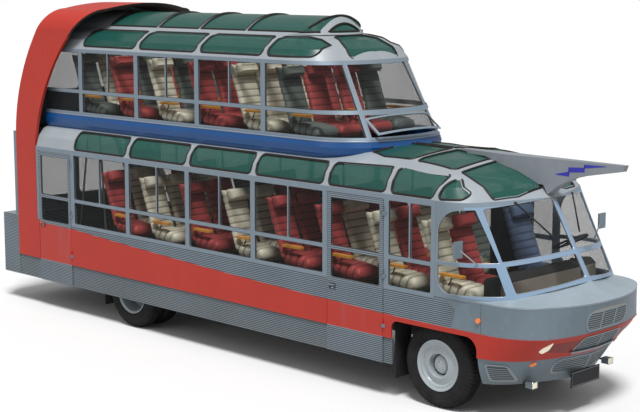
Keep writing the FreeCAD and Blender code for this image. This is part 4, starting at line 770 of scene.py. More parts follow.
class Skin:
    """A CAD node's surface, for slicing, casting onto and finding rims."""

    # Rear and front end of the bus's middle line, and the top and the middle height of the lower
    # deck, of the upper deck and of what is above it.
    CORE = (-3.6, 1.4)
    DECKS = ((2.95, 1.9), (3.5, 3.2), (math.inf, 3.45))
    # How near two points are one, the shortest line of a cut, the least bend of a rim and how
    # squarely a rim's face has to look outward.
    MERGE = 2e-5
    SHORTEST = 0.03
    RIM_BEND = 0.8
    RIM_FACING = 0.42

    def __init__(self, node: str) -> None:
        """Read the node's mesh with its doubled points joined.

        Args:
            node: the CAD node.
        """
        self.mesh = bmesh.new()
        self.mesh.from_mesh(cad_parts[node].data)
        bmesh.ops.remove_doubles(self.mesh, verts=self.mesh.verts, dist=self.MERGE)
        self.mesh.normal_update()
        self.tree = BVHTree.FromBMesh(self.mesh)

    @staticmethod
    def outward(point: Vector) -> Vector:
        """Rough direction out of the bus at a point.

        Args:
            point: any point of the bus.

        Returns:
            Direction away from the middle of the deck that the point is on.
        """
        rear, front = Skin.CORE
        height = next(middle for top, middle in Skin.DECKS if point.z <= top)
        return (point - Vector((min(max(point.x, rear), front), 0.0, height))).normalized()

    def slice(self, height: float, keep: Choice) -> List[Run]:
        """Cut the surface at one height.

        Args:
            height: height of the cut.
            keep: says which faces count.

        Returns:
            The lines of the cut.
        """
        links: Dict[int, List[Tuple[int, Vector]]] = {}
        where: Dict[int, Vector] = {}
        for face in self.mesh.faces:
            if not keep(face.normal, face.calc_center_median()):
                continue
            hits = []
            for edge in face.edges:
                a, b = edge.verts[0].co, edge.verts[1].co
                if (a.z - height) * (b.z - height) < 0:
                    where[edge.index] = a.lerp(b, (height - a.z) / (b.z - a.z))
                    hits.append(edge.index)
            if len(hits) == 2:
                links.setdefault(hits[0], []).append((hits[1], face.normal.copy()))
                links.setdefault(hits[1], []).append((hits[0], face.normal.copy()))
        runs = []
        seen = set()
        for start in [key for key, beside in links.items() if len(beside) == 1] + list(links):
            if start in seen:
                continue
            seen.add(start)
            run = [(where[start], links[start][0][1])]
            beyond = [link for link in links[start] if link[0] not in seen]
            while beyond:
                here, normal = beyond[0]
                seen.add(here)
                run.append((where[here], normal))
                beyond = [link for link in links[here] if link[0] not in seen]
            if len(run) > 1 and (run[0][0] - run[-1][0]).length > self.SHORTEST:
                runs.append(run)
        return runs

    def rims(self) -> List[Tuple[Run, bool]]:
        """Outer rims of the panes.

        Returns:
            Loops with their outward directions, and whether each closes.
        """
        beside: Dict[int, List[Tuple[int, Vector]]] = {}
        self.mesh.verts.ensure_lookup_table()
        verts = self.mesh.verts
        for edge in self.mesh.edges:
            if len(edge.link_faces) != 2 or edge.calc_face_angle(0.0) < self.RIM_BEND:
                continue
            out = self.outward((edge.verts[0].co + edge.verts[1].co) / 2)
            best = max(edge.link_faces, key=lambda face: face.normal.dot(out))
            if best.normal.dot(out) < self.RIM_FACING:
                continue
            near, far = edge.verts
            for one, other in ((near, far), (far, near)):
                beside.setdefault(one.index, []).append((other.index, best.normal.copy()))
        loops = []
        seen = set()
        for start in [key for key, steps in beside.items() if len(steps) == 1] + list(beside):
            if start in seen:
                continue
            loop = []
            steps = [start]
            while steps:
                seen.add(steps[0])
                loop.append(steps[0])
                here = verts[loop[-1]].co
                steps = [key for key, _ in beside[loop[-1]] if key not in seen]
                if len(loop) > 1:
                    ahead = (here - verts[loop[-2]].co).normalized()
                    steps.sort(key=lambda key: -ahead.dot((verts[key].co - here).normalized()))
            if len(loop) > 3:
                closed = any(key == start for key, _ in beside[loop[-1]])
                loops.append(([(verts[key].co.copy(), beside[key][0][1]) for key in loop], closed))
        return loops

    def cast(self, start: Vector, along: Vector) -> Optional[Tuple[Vector, Vector]]:
        """Where a line first meets the surface.

        Args:
            start: start of the line.
            along: its direction.

        Returns:
            The point and the normal there, or nothing.
        """
        place, normal, _, _ = self.tree.ray_cast(start, along.normalized())
        if place is None:
            return None
        return place, normal if normal.dot(along) < 0 else -normal

    def trace(self, starts: Iterable[Vector], along: Vector) -> Run:
        """Where lines from several starts first meet the surface."""
        hits = [self.cast(start, along) for start in starts]
        return [hit for hit in hits if hit]


def thin_out(run: Run, least: float) -> Run:
    """Drop points nearer than least to the one kept before.

    Args:
        run: a path.
        least: shortest step that is kept.

    Returns:
        The path with fewer points.
    """
    kept = [run[0]]
    for pair in run[1:]:
        if (pair[0] - kept[-1][0]).length >= least:
            kept.append(pair)
    if len(kept) > 2 and (kept[-1][0] - kept[0][0]).length < least:
        kept.pop()
    return kept


def dress(finish: Shades, *nodes: str) -> None:
    """Give CAD nodes one finish.

    Args:
        finish: the finish.
        nodes: the CAD nodes.
    """
    for node in nodes:
        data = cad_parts[node].data
        data.materials.clear()
        data.materials.append(finish.material())


def dress_faces(node: str, finishes: Sequence[Shades], choose: Callable[[Vector, Vector], int]) -> None:
    """Give the faces of a CAD node different finishes.

    Args:
        node: the CAD node.
        finishes: its finishes.
        choose: place in the finishes from a face's middle and normal.
    """
    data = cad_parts[node].data
    data.materials.clear()
    for finish in finishes:
        data.materials.append(finish.material())
    for face in data.polygons:
        face.material_index = choose(face.center, face.normal)


def islands(node: str) -> List[Tuple[Vector, Vector]]:
    """Extent of each separate solid of a CAD node.

    Args:
        node: the CAD node.

    Returns:
        Lowest and highest corner of each, from the front to the rear.
    """
    mesh = Skin(node).mesh
    mesh.verts.ensure_lookup_table()
    left = set(range(len(mesh.verts)))
    found = []
    while left:
        start = left.pop()
        stack = [start]
        low = mesh.verts[start].co.copy()
        high = low.copy()
        while stack:
            vert = mesh.verts[stack.pop()]
            low = Vector(map(min, low, vert.co))
            high = Vector(map(max, high, vert.co))
            for edge in vert.link_edges:
                other = edge.other_vert(vert).index
                if other in left:
                    left.remove(other)
                    stack.append(other)
        found.append((low, high))
    mesh.free()
    return sorted(found, key=lambda pair: (round(-pair[0].x, 3), pair[0].y))


# ---------------------------------------------------------------- studio
@dataclass
class Studio:
    """Camera, pale floor, soft lamps and plain surroundings."""

    spot: Point = (14.03, -13.64, 4.91)
    heading: float = 134.64
    dip: float = 8.81
    lens: float = 81.5
    sensor: float = 36.0
    floor_reach: float = 160.0
    floor_depth: float = 0.002
    # Name, direction, strength and spread in degrees of each lamp.
    suns: Tuple[Tuple[str, Point, float, float], ...] = (
        ("key", (-0.32, 0.30, -0.90), 2.7, 16.0), ("side", (0.25, 0.85, -0.45), 0.2, 40.0))
    # Strength of the white surroundings where they light the bus and where they are seen.
    glow: Tuple[float, float] = (0.36, 1.0)

    def build(self) -> None:
        """Make the camera, the lamps, the surroundings and the floor."""
        self.camera()
        self.lamps()
        self.surroundings()
        self.floor()

    def camera(self) -> None:
        """Camera at the main viewing angle."""
        data = bpy.data.cameras.new("camera")
        data.lens = self.lens
        data.sensor_width = self.sensor
        data.clip_end = 500.0
        thing = linked("camera", data)
        heading, dip = math.radians(self.heading), math.radians(self.dip)
        look = Vector((math.cos(heading) * math.cos(dip), math.sin(heading) * math.cos(dip), -math.sin(dip)))
        thing.location = self.spot
        thing.rotation_euler = look.to_track_quat("-Z", "Y").to_euler()
        bpy.context.scene.camera = thing

    def lamps(self) -> None:
        """One broad key lamp ahead of the bus and a weaker one at its side."""
        for name, toward, strength, spread in self.suns:
            data = bpy.data.lights.new(name, "SUN")
            data.energy = strength
            data.angle = math.radians(spread)
            linked(name, data).rotation_euler = Vector(toward).to_track_quat("-Z", "Y").to_euler()

    def surroundings(self) -> None:
        """White behind the bus and through its panes, softer light on its paint."""
        world = bpy.data.worlds.new("surroundings")
        world.use_nodes = True
        tree = world.node_tree
        shade = tree.nodes["Background"]
        kinds = ("LightPath", "Math", "MapRange")
        path, seen, level = (tree.nodes.new(f"ShaderNode{kind}") for kind in kinds)
        seen.operation = "MAXIMUM"
        tree.links.new(path.outputs["Is Camera Ray"], seen.inputs[0])
        tree.links.new(path.outputs["Is Transmission Ray"], seen.inputs[1])
        tree.links.new(seen.outputs[0], level.inputs["Value"])
        level.inputs["To Min"].default_value, level.inputs["To Max"].default_value = self.glow
        tree.links.new(level.outputs[0], shade.inputs["Strength"])
        shade.inputs["Color"].default_value = (1.0, 1.0, 1.0, 1.0)
        bpy.context.scene.world = world
        bpy.context.scene.view_settings.view_transform = "Standard"

    def floor(self) -> None:
        """Large pale floor that keeps the bus's shadow and doesn't hide it from below."""
        reach = self.floor_reach
        corners = [(x * reach, y * reach, -self.floor_depth) for x, y in ((-1, -1), (1, -1), (1, 1), (-1, 1))]
        mesh = bpy.data.meshes.new("floor")
        mesh.from_pydata(corners, [], [(0, 1, 2, 3)])
        graph = Graph("floor_pale")
        seen = graph.node("ShaderNodeLightPath", "Is Camera Ray")
        below = graph.node("ShaderNodeNewGeometry", "Backfacing")
        white = graph.mix(graph.speckle(0.7, 3.0), (0.91, 0.91, 0.91), (0.94, 0.94, 0.94))
        graph.set(Base_Color=graph.mix(seen, (0.5, 0.5, 0.5), white), Alpha=1 - below * seen, Roughness=0.9,
                  Specular_IOR_Level=0.1)
        mesh.materials.append(graph.material)
        linked("floor", mesh)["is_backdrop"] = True


# ---------------------------------------------------------------- coachwork
@dataclass
class Coachwork:
    """Painted skins, their flutes, mouldings, seams and door furniture."""

    # The flutes: their width, height and shortest length, and how far their cuts keep off the
    # CAD's own points.
    rib_width: float = 0.0135
    rib_height: float = 0.005
    shortest_rib: float = 0.06
    cut_shift: float = 0.0003
    # Two directions whose cosine is more than this are in line.
    in_line: float = 0.9999
    # How squarely a fluted face looks sideways or to the rear, how far off the centre the outer
    # skins and the luggage box's sides are at least, and the gap between the band and a flute.
    facing: float = 0.8
    box_facing: float = 0.7
    skin_side: float = 1.15
    box_side: float = 1.175
    band_gap: float = 0.012
    # Name, node, height, rearmost place, width and rise of each bright strip; the nose's strip is a
    # painted highlight along the shelf's edge.
    strips: Tuple[Tuple[str, str, float, float, float, float], ...] = (
        ("tub_strip", "upper_tub", 2.972, -5.0, 0.024, 0.006),
        ("shelf_edge_highlight", "nose_upper", 1.372, 3.6, 0.012, 0.003))
    strip_facing: float = 0.3
    # The nose's side seams: their place along the bus, lowest point, steps and section.
    seam_x: float = 4.245
    seam_low: float = 1.03
    seam_step: float = 0.0165
    seam_steps: int = 22
    seam_section: Outline = box_outline(-0.002, 0.002, -0.001, 0.0007)
    # A face of the nose that looks up more squarely than this gets the lighter shelf paint, painted light
    # from above.
    lit_face_up: float = 0.75
    # The rear hoop: height of its middle, how squarely its edges look along the bus, and how far
    # the faces that get its painted shade look inward.
    hoop_mid: float = 3.4
    hoop_edge: float = 0.75
    hoop_inward: float = -0.05
    # Where a door's pull lies from the door's rear edge, and how high.
    pull_x: float = 0.075
    pull_z: float = 1.235
    rear_pull_z: float = 1.285
    # From there, the lowest and highest corner (along, up) of the dark plate of painted shade that
    # stands for the recess, the ends of the grip at the skin, and how much lower the grip is where it
    # stands out; then the lock.
    shade_plate: Outline = ((-0.045, -0.042), (0.075, 0.038))
    grip_ends: Tuple[float, float] = (-0.035, 0.062)
    grip_heights: Tuple[float, float] = (0.026, 0.022)
    grip_radius: float = 0.0065
    lock: Tuple[float, float] = (0.015, -0.02)
    lock_outline: Outline = ((0.0, 0.005), (0.008, 0.005), (0.011, 0.003), (0.012, 0.0))
    # Places along the fin's flash, and half its height at each.
    flash: Outline = ((4.42, 2.735), (4.60, 2.752), (4.585, 2.80), (4.80, 2.815), (4.79, 2.855),
                      (5.07, 2.876))
    flash_halves: Tuple[float, ...] = (0.005, 0.029, 0.029, 0.027, 0.022, 0.004)

    def build(self) -> None:
        """Dress the skins and add their pieces."""
        self.paint()
        self.flutes()
        self.mouldings()
        self.handles()
        self.zigzag()

    def paint(self) -> None:
        """Finish of every skin."""
        dress(Shades.FLUTE, "waist_panels", "luggage_box")
        # The skirts get the darker copy of the fluted sheet: painted shade.
        dress(Shades.SHADED_SKIRT, "skirts")
        dress(Shades.BODY, "nose_lower", "rear_wall", "door_hinges")
        # The nose's upward faces get the lighter copy of the body paint: painted light from above.
        dress_faces("nose_upper", (Shades.BODY, Shades.LIT_SHELF),
                    lambda middle, normal: int(normal.z > self.lit_face_up))
        dress(Shades.RAIL, "lower_window_frames", "upper_window_frame", "vent_flap")
        dress(Shades.DOOR, *DOORS)
        dress(Shades.COVE, "lower_roof", "upper_roof", "hump_frame")
        dress(Shades.RED, "red_band")
        dress(Shades.BLUE, "upper_tub")
        dress(Shades.FIN, "roof_fin")
        dress(Shades.SCREEN, "windscreen_frame")
        dress_faces("rear_hoop", (Shades.RED, Shades.HOOP_SHADE), self.inside_hoop)

    def inside_hoop(self, middle: Vector, normal: Vector) -> int:
        """Whether a face of the hoop gets painted shade.

        Args:
            middle: the face's middle.
            normal: its normal.

        Returns:
            One for the faces that look toward the bus, which get painted shade, else zero.
        """
        core = Vector((0.0, middle.y, max(0.0, middle.z - self.hoop_mid)))
        if abs(normal.x) > self.hoop_edge:
            return 0
        return int(normal.dot(core) < self.hoop_inward)

    def cuts(self, node: str, heights: Tuple[float, float], keep: Choice) -> List[Run]:
        """Level cuts through a node's skin, one for each flute.

        Args:
            node: the CAD node.
            heights: lowest and highest place of a flute.
            keep: says which faces count.

        Returns:
            The lines of every cut.
        """
        skin = Skin(node)
        found = []
        first, last = ((height - FLUTE_START) / FLUTE_PITCH for height in heights)
        for number in range(math.ceil(first), math.floor(last) + 1):
            found += skin.slice(FLUTE_START + number * FLUTE_PITCH + self.cut_shift, keep)
        skin.mesh.free()
        return found

    def straighten(self, run: Run) -> Run:
        """Drop points that lie in line with their neighbours.

        Args:
            run: a path.

        Returns:
            The path with fewer points.
        """
        kept = [run[0]]
        for here, after in zip(run[1:], run[2:]):
            one = (here[0] - kept[-1][0]).normalized()
            two = (after[0] - here[0]).normalized()
            if one.length > 0 and two.length > 0 and one.dot(two) < self.in_line:
                kept.append(here)
        return kept + [run[-1]]

    def press(self, label: str, body: str, finish: Shades, runs: Iterable[Run]) -> None:
        """One piece of flutes along level cuts.

        Args:
            label: end of the piece's name.
            body: body that it rides on.
            finish: its finish.
            runs: the cuts.
        """
        maker = Maker()
        for run in map(self.straighten, runs):
            if sum((b[0] - a[0]).length for a, b in zip(run, run[1:])) > self.shortest_rib:
                maker.sweep(run, half_round(self.rib_width, self.rib_height))
        maker.piece(f"flutes_{label}", body, [finish], slot="body_grey")

    def flutes(self) -> None:
        """Pressed flutes of the waist, the skirts, the doors and the luggage box."""
        for side, word in SIDES:
            for node, heights, finish in (("waist_panels", WAIST_FLUTES, Shades.FLUTE),
                                          ("skirts", SKIRT_FLUTES, Shades.SHADED_SKIRT)):
                self.press(f"{node}_{word}", "root", finish, self.cuts(
                    node, heights, lambda normal, middle: (
                        normal.y * side > self.facing and middle.y * side > self.skin_side)))
        for node, side in DOORS.items():
            runs = []
            for heights in (SKIRT_FLUTES, WAIST_FLUTES):
                runs += self.cuts(node, heights, lambda normal, middle: (
                    normal.y * side > self.facing and abs(middle.y) < DOOR_SKIN + 0.0005))
            starts = [run[0][0] for run in runs]
            self.press(node, node, Shades.FLUTE, [run for run, start in zip(runs, starts) if (
                start.z < BAND_LOW or start.z > band_top(start.x) + self.band_gap)])
        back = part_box("luggage_box")[0].x + BOX_BACK
        self.press("luggage_box", "root", Shades.FLUTE, self.cuts(
            "luggage_box", BOX_FLUTES, lambda normal, middle: (
                max(abs(normal.y) - 0.2, -normal.x) > self.box_facing
                and (abs(middle.y) > self.box_side or abs(middle.x - back) < 0.002))))

    def mouldings(self) -> None:
        """Bright strips on the tub and, as a painted highlight, along the nose's shelf edge, and the seams in
        the nose's sides.
        """
        for name, node, height, rear, width, rise in self.strips:
            maker = Maker()
            skin = Skin(node)
            for run in skin.slice(height, lambda normal, middle: (
                    normal.dot(Skin.outward(middle)) > self.strip_facing and middle.x > rear)):
                maker.sweep(self.straighten(run), half_round(width, rise))
            skin.mesh.free()
            maker.piece(name, "root", [Shades.BEAD])
        maker = Maker()
        skin = Skin("nose_upper")
        for side in (-1, 1):
            starts = [Vector((self.seam_x, side * 2.0, self.seam_low + step * self.seam_step))
                      for step in range(self.seam_steps)]
            run = [hit for hit in skin.trace(starts, Vector((0, -side, 0))) if abs(hit[0].y) > 1.0]
            if len(run) > 2:
                maker.sweep(run, self.seam_section)
        skin.mesh.free()
        maker.piece("nose_seams", "root", [Shades.SEAM])

    def handles(self) -> None:
        """Recessed pulls over dark plates of painted shade, and lock escutcheons, on the doors."""
        for node, side in DOORS.items():
            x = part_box(node)[0].x + self.pull_x
            z = self.rear_pull_z if node == "rear_door" else self.pull_z
            near, far = side * (DOOR_SKIN + 0.003), side * (DOOR_SKIN + 0.017)
            maker = Maker()
            y0, y1 = sorted((side * (DOOR_SKIN - 0.002), side * (DOOR_SKIN + 0.0042)))
            (rear, low), (front, high) = self.shade_plate
            maker.slab((x + rear, y0, z + low), (x + front, y1, z + high), 0.004, 1)
            rear, front = (x + end for end in self.grip_ends)
            high, low = (z + height for height in self.grip_heights)
            grip = ((rear, near, high), (rear, far, low), (front, far, low), (front, near, high))
            maker.sweep(carried(grip, (0, 0, 1)), dot_section(self.grip_radius, 8))
            maker.lathe(self.lock_outline, Vector((x + self.lock[0], near, z + self.lock[1])),
                        Vector((0, side, 0)), 16)
            # The pull's recess is a dark plate on the skin: painted shade.
            dark_shade = Shades.DARK_RED_SHADE if node == "rear_door" else Shades.SEAM
            maker.piece(f"handle_{node}", node, [Shades.CHROME, dark_shade])

    def zigzag(self) -> None:
        """Plain zigzag flash on both sides of the roof fin."""
        skin = Skin("roof_fin")
        maker = Maker()
        for side in (-1, 1):
            rows = []
            for (x, z), half in zip(self.flash, self.flash_halves):
                for drop in (half, -half):
                    hit = skin.cast(Vector((x, side * 0.6, z + drop)), Vector((0, -side, 0)))
                    place = hit[0] if hit else Vector((x, side * 0.08, z + drop))
                    rows.append(place + Vector((0, side * 0.0015, 0)))
            faces = [(2 * k, 2 * k + 1, 2 * k + 3, 2 * k + 2) for k in range(len(self.flash) - 1)]
            maker.add(rows, faces)
        skin.mesh.free()
        maker.piece("fin_zigzag", "root", [Shades.ZIGZAG])


# ---------------------------------------------------------------- glazing
@dataclass
class Glazing:
    """Panes and the rubbers and beads round them."""

    clear: Tuple[str, ...] = ("lower_window_glass", "upper_window_glass", "rear_glass", "front_door_glass",
                              "rear_door_glass", "driver_door_glass")
    green: Tuple[str, ...] = ("lower_roof_glass", "upper_roof_glass")
    # Radius and lift of the strips round the green panes, the clear ones and the windscreen.
    roof_strip: Tuple[float, float] = (0.0155, 0.005)
    window_strip: Tuple[float, float] = (0.0055, 0.002)
    screen_strip: Tuple[float, float] = (0.007, 0.004)
    # Shortest step between two points of a rim.
    step: float = 0.008

    def build(self) -> None:
        """Dress the panes and edge them."""
        for node in self.clear:
            dress_faces(node, (Shades.CLEAR, Shades.CLEAR_INNER), self.inner_face)
        dress_faces("windscreen_glass", (Shades.SCREEN_GLASS, Shades.SCREEN_INNER), self.inner_face)
        dress(Shades.GREEN, *self.green)
        for node in self.green:
            self.edge(node, Shades.GASKET, self.roof_strip, "root")
        for node in self.clear:
            body = node.replace("_glass", "") if "door" in node else "root"
            self.edge(node, Shades.GASKET, self.window_strip, body)
        self.edge("windscreen_glass", Shades.BEAD, self.screen_strip, "root")

    @staticmethod
    def inner_face(middle: Vector, normal: Vector) -> int:
        """One for the faces of a pane that look into the bus, else zero."""
        return int(normal.dot(Skin.outward(middle)) <= 0)

    @staticmethod
    def covered(point: Vector) -> bool:
        """Whether the crown's own panes lie over a point."""
        return (CROWN_REAR - 0.02 < point.x < CROWN_CROSS - 0.012 and point.z > CROWN_HIGH - 0.004
                and abs(point.y) < CROWN_HALF + 0.004)

    def edge(self, node: str, finish: Shades, strip: Tuple[float, float], body: str) -> None:
        """Round strip along the rims of a node's panes.

        Args:
            node: the glass node.
            finish: finish of the strip.
            strip: its radius, and how far it stands out from the pane.
            body: body that it rides on.
        """
        skin = Skin(node)
        maker = Maker()
        for run, closed in skin.rims():
            run = thin_out(run, self.step)
            bare = [place for place, (point, _) in enumerate(run) if self.covered(point)]
            if bare:
                start = bare[-1] + 1
                run = [pair for pair in run[start:] + run[:start] if not self.covered(pair[0])]
                closed = False
            if len(run) > 3:
                maker.sweep(run, dot_section(strip[0], 6, strip[1]), closed=closed)
        skin.mesh.free()
        maker.piece(f"edging_{node}", body, [finish])


@dataclass
class Crown:
    """Panes and ribs that close the lower roof's crown between the tub and the beak."""

    # Thickness of the plates, and how far off the centre the rib across the front reaches.
    thick: float = 0.012
    cross_half: float = 0.119
    # The gaskets: how many steps they take along the middle rib and the cross rib, the length of
    # a step along the cross rib, their radius and their lift.
    rib_steps: int = 12
    cross_steps: int = 6
    gasket_step: float = 0.012
    gasket_radius: float = 0.0155
    gasket_lift: float = 0.002
    # Faces of a plate along and across.
    count: int = 14
    # Where the opening's rounded front starts, how far it reaches, and how square it is.
    front_start: float = 2.5
    front_reach: float = 0.415
    front_power: float = 1.7
    # How much higher the middle is than the edges, and the length over which that dies away.
    dome: float = 0.012
    dome_length: float = 0.71

    def build(self) -> None:
        """Two panes with a rib between them and a rib across their front."""
        glass, ribs, rubber = Maker(), Maker(), Maker()
        self.sheet(ribs, (-CROWN_RIB, CROWN_RIB), CROWN_REAR, math.inf)
        for side in (-1, 1):
            self.sheet(glass, (side * CROWN_RIB, side * CROWN_HALF), CROWN_REAR, CROWN_CROSS)
            self.sheet(ribs, (side * CROWN_RIB, side * self.cross_half), CROWN_CROSS, math.inf)
            path = [self.place(CROWN_REAR + (CROWN_CROSS - CROWN_REAR) * step / self.rib_steps,
                               side * CROWN_RIB)
                    for step in range(self.rib_steps + 1)]
            path += [self.place(CROWN_CROSS, side * (CROWN_RIB + self.gasket_step * (step + 1)))
                     for step in range(self.cross_steps)]
            rubber.sweep(carried(path, (0, 0, 1)), dot_section(self.gasket_radius, 6, self.gasket_lift))
        glass.piece("crown_panes", "root", [Shades.GREEN])
        ribs.piece("crown_ribs", "root", [Shades.COVE])
        rubber.piece("crown_gaskets", "root", [Shades.GASKET])

    def front(self, y: float) -> float:
        """How far forward the crown's opening reaches at a distance off the centre."""
        share = max(0.0, 1.0 - (abs(y) / CROWN_HALF) ** self.front_power)
        return self.front_start + self.front_reach * share ** (1 / self.front_power)

    def place(self, x: float, y: float) -> Vector:
        """Point on the crown's gently domed top."""
        along = min(1.0, (x - CROWN_REAR) / self.dome_length)
        return Vector((x, y, CROWN_HIGH + self.dome * (1.0 - (y / CROWN_HALF) ** 2) * (1.0 - along * along)))

    def sheet(self, maker: Maker, across: Tuple[float, float], rear: float, limit: float) -> None:
        """Plate under the crown's top.

        Args:
            maker: gathers the plate.
            across: its two edges off the centre.
            rear: its rear edge.
            limit: its front edge, where the opening reaches that far.
        """
        count = self.count
        points = []
        for depth in (0.0, self.thick):
            for row in range(count + 1):
                y = across[0] + (across[1] - across[0]) * row / count
                ahead = max(min(self.front(y), limit), rear + 0.001)
                for column in range(count + 1):
                    point = self.place(rear + (ahead - rear) * column / count, y)
                    points.append(point - Vector((0, 0, depth)))
        width = count + 1
        layer = width * width
        faces = []
        for quad in grid(count, count):
            faces += [quad, tuple(layer + corner for corner in quad[::-1])]
        border = list(range(count)) + [row * width + count for row in range(count)]
        border += [count * width + column for column in range(count, 0, -1)]
        border += [row * width for row in range(count, 0, -1)]
        for a, b in zip(border, border[1:] + border[:1]):
            faces.append((b, a, a + layer, b + layer))
        maker.add(points, faces)


# ---------------------------------------------------------------- nose
class Face(Enum):
    """Where a nose fitting lies."""

    FRONT = "front"
    SIDE = "side"


@dataclass(frozen=True)
class Patch:
    """A thin sheet laid on the nose.

    Its outline has (across, height) corners, or (along, height) ones on the side.
    """

    node: str
    outline: Outline
    radius: float
    lift: float = 0.002
    face: Face = Face.FRONT
    rows: int = 14
    columns: int = 18

    def rounded(self) -> Outline:
        """Outline with rounded corners.

        Returns:
            Seven points for each corner.
        """
        found = []
        count = len(self.outline)
        for place, corner in enumerate(self.outline):
            here = Vector(corner)
            before = (Vector(self.outline[place - 1]) - here).normalized()
            after = (Vector(self.outline[(place + 1) % count]) - here).normalized()
            half = math.acos(max(-1.0, min(1.0, before.dot(after)))) / 2
            reach = self.radius / math.tan(half)
            middle = here + (before + after).normalized() * (self.radius / math.sin(half))
            one, two = here + before * reach - middle, here + after * reach - middle
            for step in range(7):
                found.append(tuple(middle + one.lerp(two, step / 6).normalized() * self.radius))
        return found

    def build(self, maker: Maker, mirror: int = 1) -> None:
        """Lay the sheet over the node's skin.

        Args:
            maker: where the sheet's mesh goes.
            mirror: -1 lays it on the other side.
        """
        outline = self.rounded()
        skin = Skin(self.node)
        lows = min(z for _, z in outline) + 0.0005
        highs = max(z for _, z in outline) - 0.0005
        points = []
        for row in range(self.rows + 1):
            z = lows + (highs - lows) * row / self.rows
            cuts = [a + (b - a) * (z - az) / (bz - az)
                    for (a, az), (b, bz) in zip(outline, outline[1:] + outline[:1])
                    if (az - z) * (bz - z) <= 0 and az != bz]
            for column in range(self.columns + 1):
                across = min(cuts) + (max(cuts) - min(cuts)) * column / self.columns
                points.append(self.lay(skin, across, z, mirror))
        skin.mesh.free()
        faces = [face for face in grid(self.rows, self.columns)
                 if all(points[key] is not None for key in face)]
        wanted = sorted({key for face in faces for key in face})
        index = {key: place for place, key in enumerate(wanted)}
        maker.add([points[key] for key in wanted], [[index[key] for key in face] for face in faces])

    def lay(self, skin: Skin, across: float, z: float, mirror: int) -> Optional[Vector]:
        """One point of the sheet.

        Args:
            skin: the node's skin.
            across: place across or along the nose.
            z: height.
            mirror: -1 for the other side.

        Returns:
            The point, or nothing where there is no skin.
        """
        if self.face is Face.FRONT:
            hit = skin.cast(Vector((6.2, across * mirror, z)), Vector((-1, 0, 0)))
        else:
            hit = skin.cast(Vector((across, 2.0 * mirror, z)), Vector((0, -mirror, 0)))
        return hit[0] + hit[1] * self.lift if hit else None


@dataclass
class Nose:
    """Grilles, lamps, plate, mirrors and wipers."""

    backs: Tuple[Patch, ...] = (
        Patch("nose_upper", box_outline(-0.385, 0.385, 1.058, 1.277), 0.1),
        Patch("red_band", box_outline(-0.43, 0.43, 0.783, 0.977, 0.078), 0.065),
        Patch("nose_lower", box_outline(-0.512, 0.512, 0.528, 0.707, -0.038), 0.08))
    vent: Patch = Patch("nose_lower", box_outline(4.298, 4.522, 0.478, 0.682), 0.036, face=Face.SIDE)
    # Dark patch of painted shade over the hollow beside each headlamp.
    dark_shade: Patch = Patch(
        "red_band", ((0.445, 0.800), (0.79, 0.852), (0.80, 0.955), (0.375, 0.962)), 0.02, 0.0015)
    # The number plate: where its face starts, where the bead lies on it, and the bead's corners.
    plate_back: float = 4.83
    plate_face: float = 4.8505
    plate: Outline = box_outline(-0.268, 0.268, 0.352, 0.508)
    # The fog lamps: where their rims lie along the bus, across it and in height, the height that
    # only they lie under, and the front of their brackets.
    fog_face: float = 4.689
    fog_sides: Tuple[float, float] = (0.702, 0.803)
    fog_heights: Tuple[float, float] = (0.398, 0.472)
    fog_top: float = 0.5
    bracket_front: float = 4.588
    # A lens looks forward, and a mirror's glass rearward, at least as squarely as this.
    lens_facing: float = 0.6
    glass_facing: float = 0.9
    # The indicators' lowest and highest point, and the lowest point of the marker lamps.
    indicators: Tuple[float, float] = (0.65, 0.73)
    markers_low: float = 1.1
    # How far off the centre the mirrors' arms end.
    mirror_arm: float = 1.329

    def build(self) -> None:
        """Dress the nose's fittings and add the sheets behind the grilles."""
        dress(Shades.GRILLE, "grilles")
        dress(Shades.BRACKET, "wipers")
        dress_faces("lamps", (Shades.HEADLAMP, Shades.AMBER, Shades.CHASSIS, Shades.BODY), self.lamp_finish)
        dress_faces("mirrors", (Shades.BODY, Shades.MIRROR, Shades.CHROME), self.mirror_finish)
        dress_faces("number_plate", (Shades.PLATE, Shades.BRACKET),
                    lambda middle, normal: int(middle.x <= self.plate_back))
        self.sheets()
        self.rims()

    def lamp_finish(self, middle: Vector, normal: Vector) -> int:
        """Amber for indicators and markers, black for the fog lamps' brackets, grey for their housings.

        Args:
            middle: a face's middle.
            normal: its normal.

        Returns:
            Place in the lamps' finishes.
        """
        low, high = self.indicators
        if middle.z > self.markers_low or low < middle.z < high:
            return 1
        if middle.z < self.fog_top and middle.x < self.bracket_front:
            return 2
        return 3 if middle.z < self.fog_top and normal.x < self.lens_facing else 0

    def mirror_finish(self, middle: Vector, normal: Vector) -> int:
        """Glass on the back of each head, bright arms.

        Args:
            middle: a face's middle.
            normal: its normal.

        Returns:
            Place in the mirrors' finishes.
        """
        if abs(middle.y) < self.mirror_arm:
            return 2
        return int(normal.x < -self.glass_facing)

    def sheets(self) -> None:
        """Mesh panels behind the grilles, and dark patches of painted shade over the hollows beside the
        headlamps.
        """
        backs, shade_patches = Maker(), Maker()
        for patch in self.backs:
            patch.build(backs)
        for side in (-1, 1):
            self.vent.build(backs, side)
            self.dark_shade.build(shade_patches, side)
        backs.piece("grille_backs", "root", [Shades.GRILLE_BACK])
        shade_patches.piece("headlamp_painted_shade", "root", [Shades.DARK_RED_SHADE])

    def rims(self) -> None:
        """Raised bead round the blank plate and chrome rims round the fog lamps."""
        bead, rims = Maker(), Maker()
        path = [(self.plate_face, y, z) for y, z in self.plate]
        bead.sweep(carried(path, (1, 0, 0)), half_round(0.006, 0.002), closed=True)
        bead.piece("plate_bead", "root", [Shades.BEAD])
        for side in (-1, 1):
            corners = box_outline(*sorted(side * y for y in self.fog_sides), *self.fog_heights)
            path = [(self.fog_face, y, z) for y, z in corners]
            rims.sweep(carried(path, (1, 0, 0)), dot_section(0.0035, 6), closed=True)
        rims.piece("lamp_rims", "root", [Shades.CHROME])


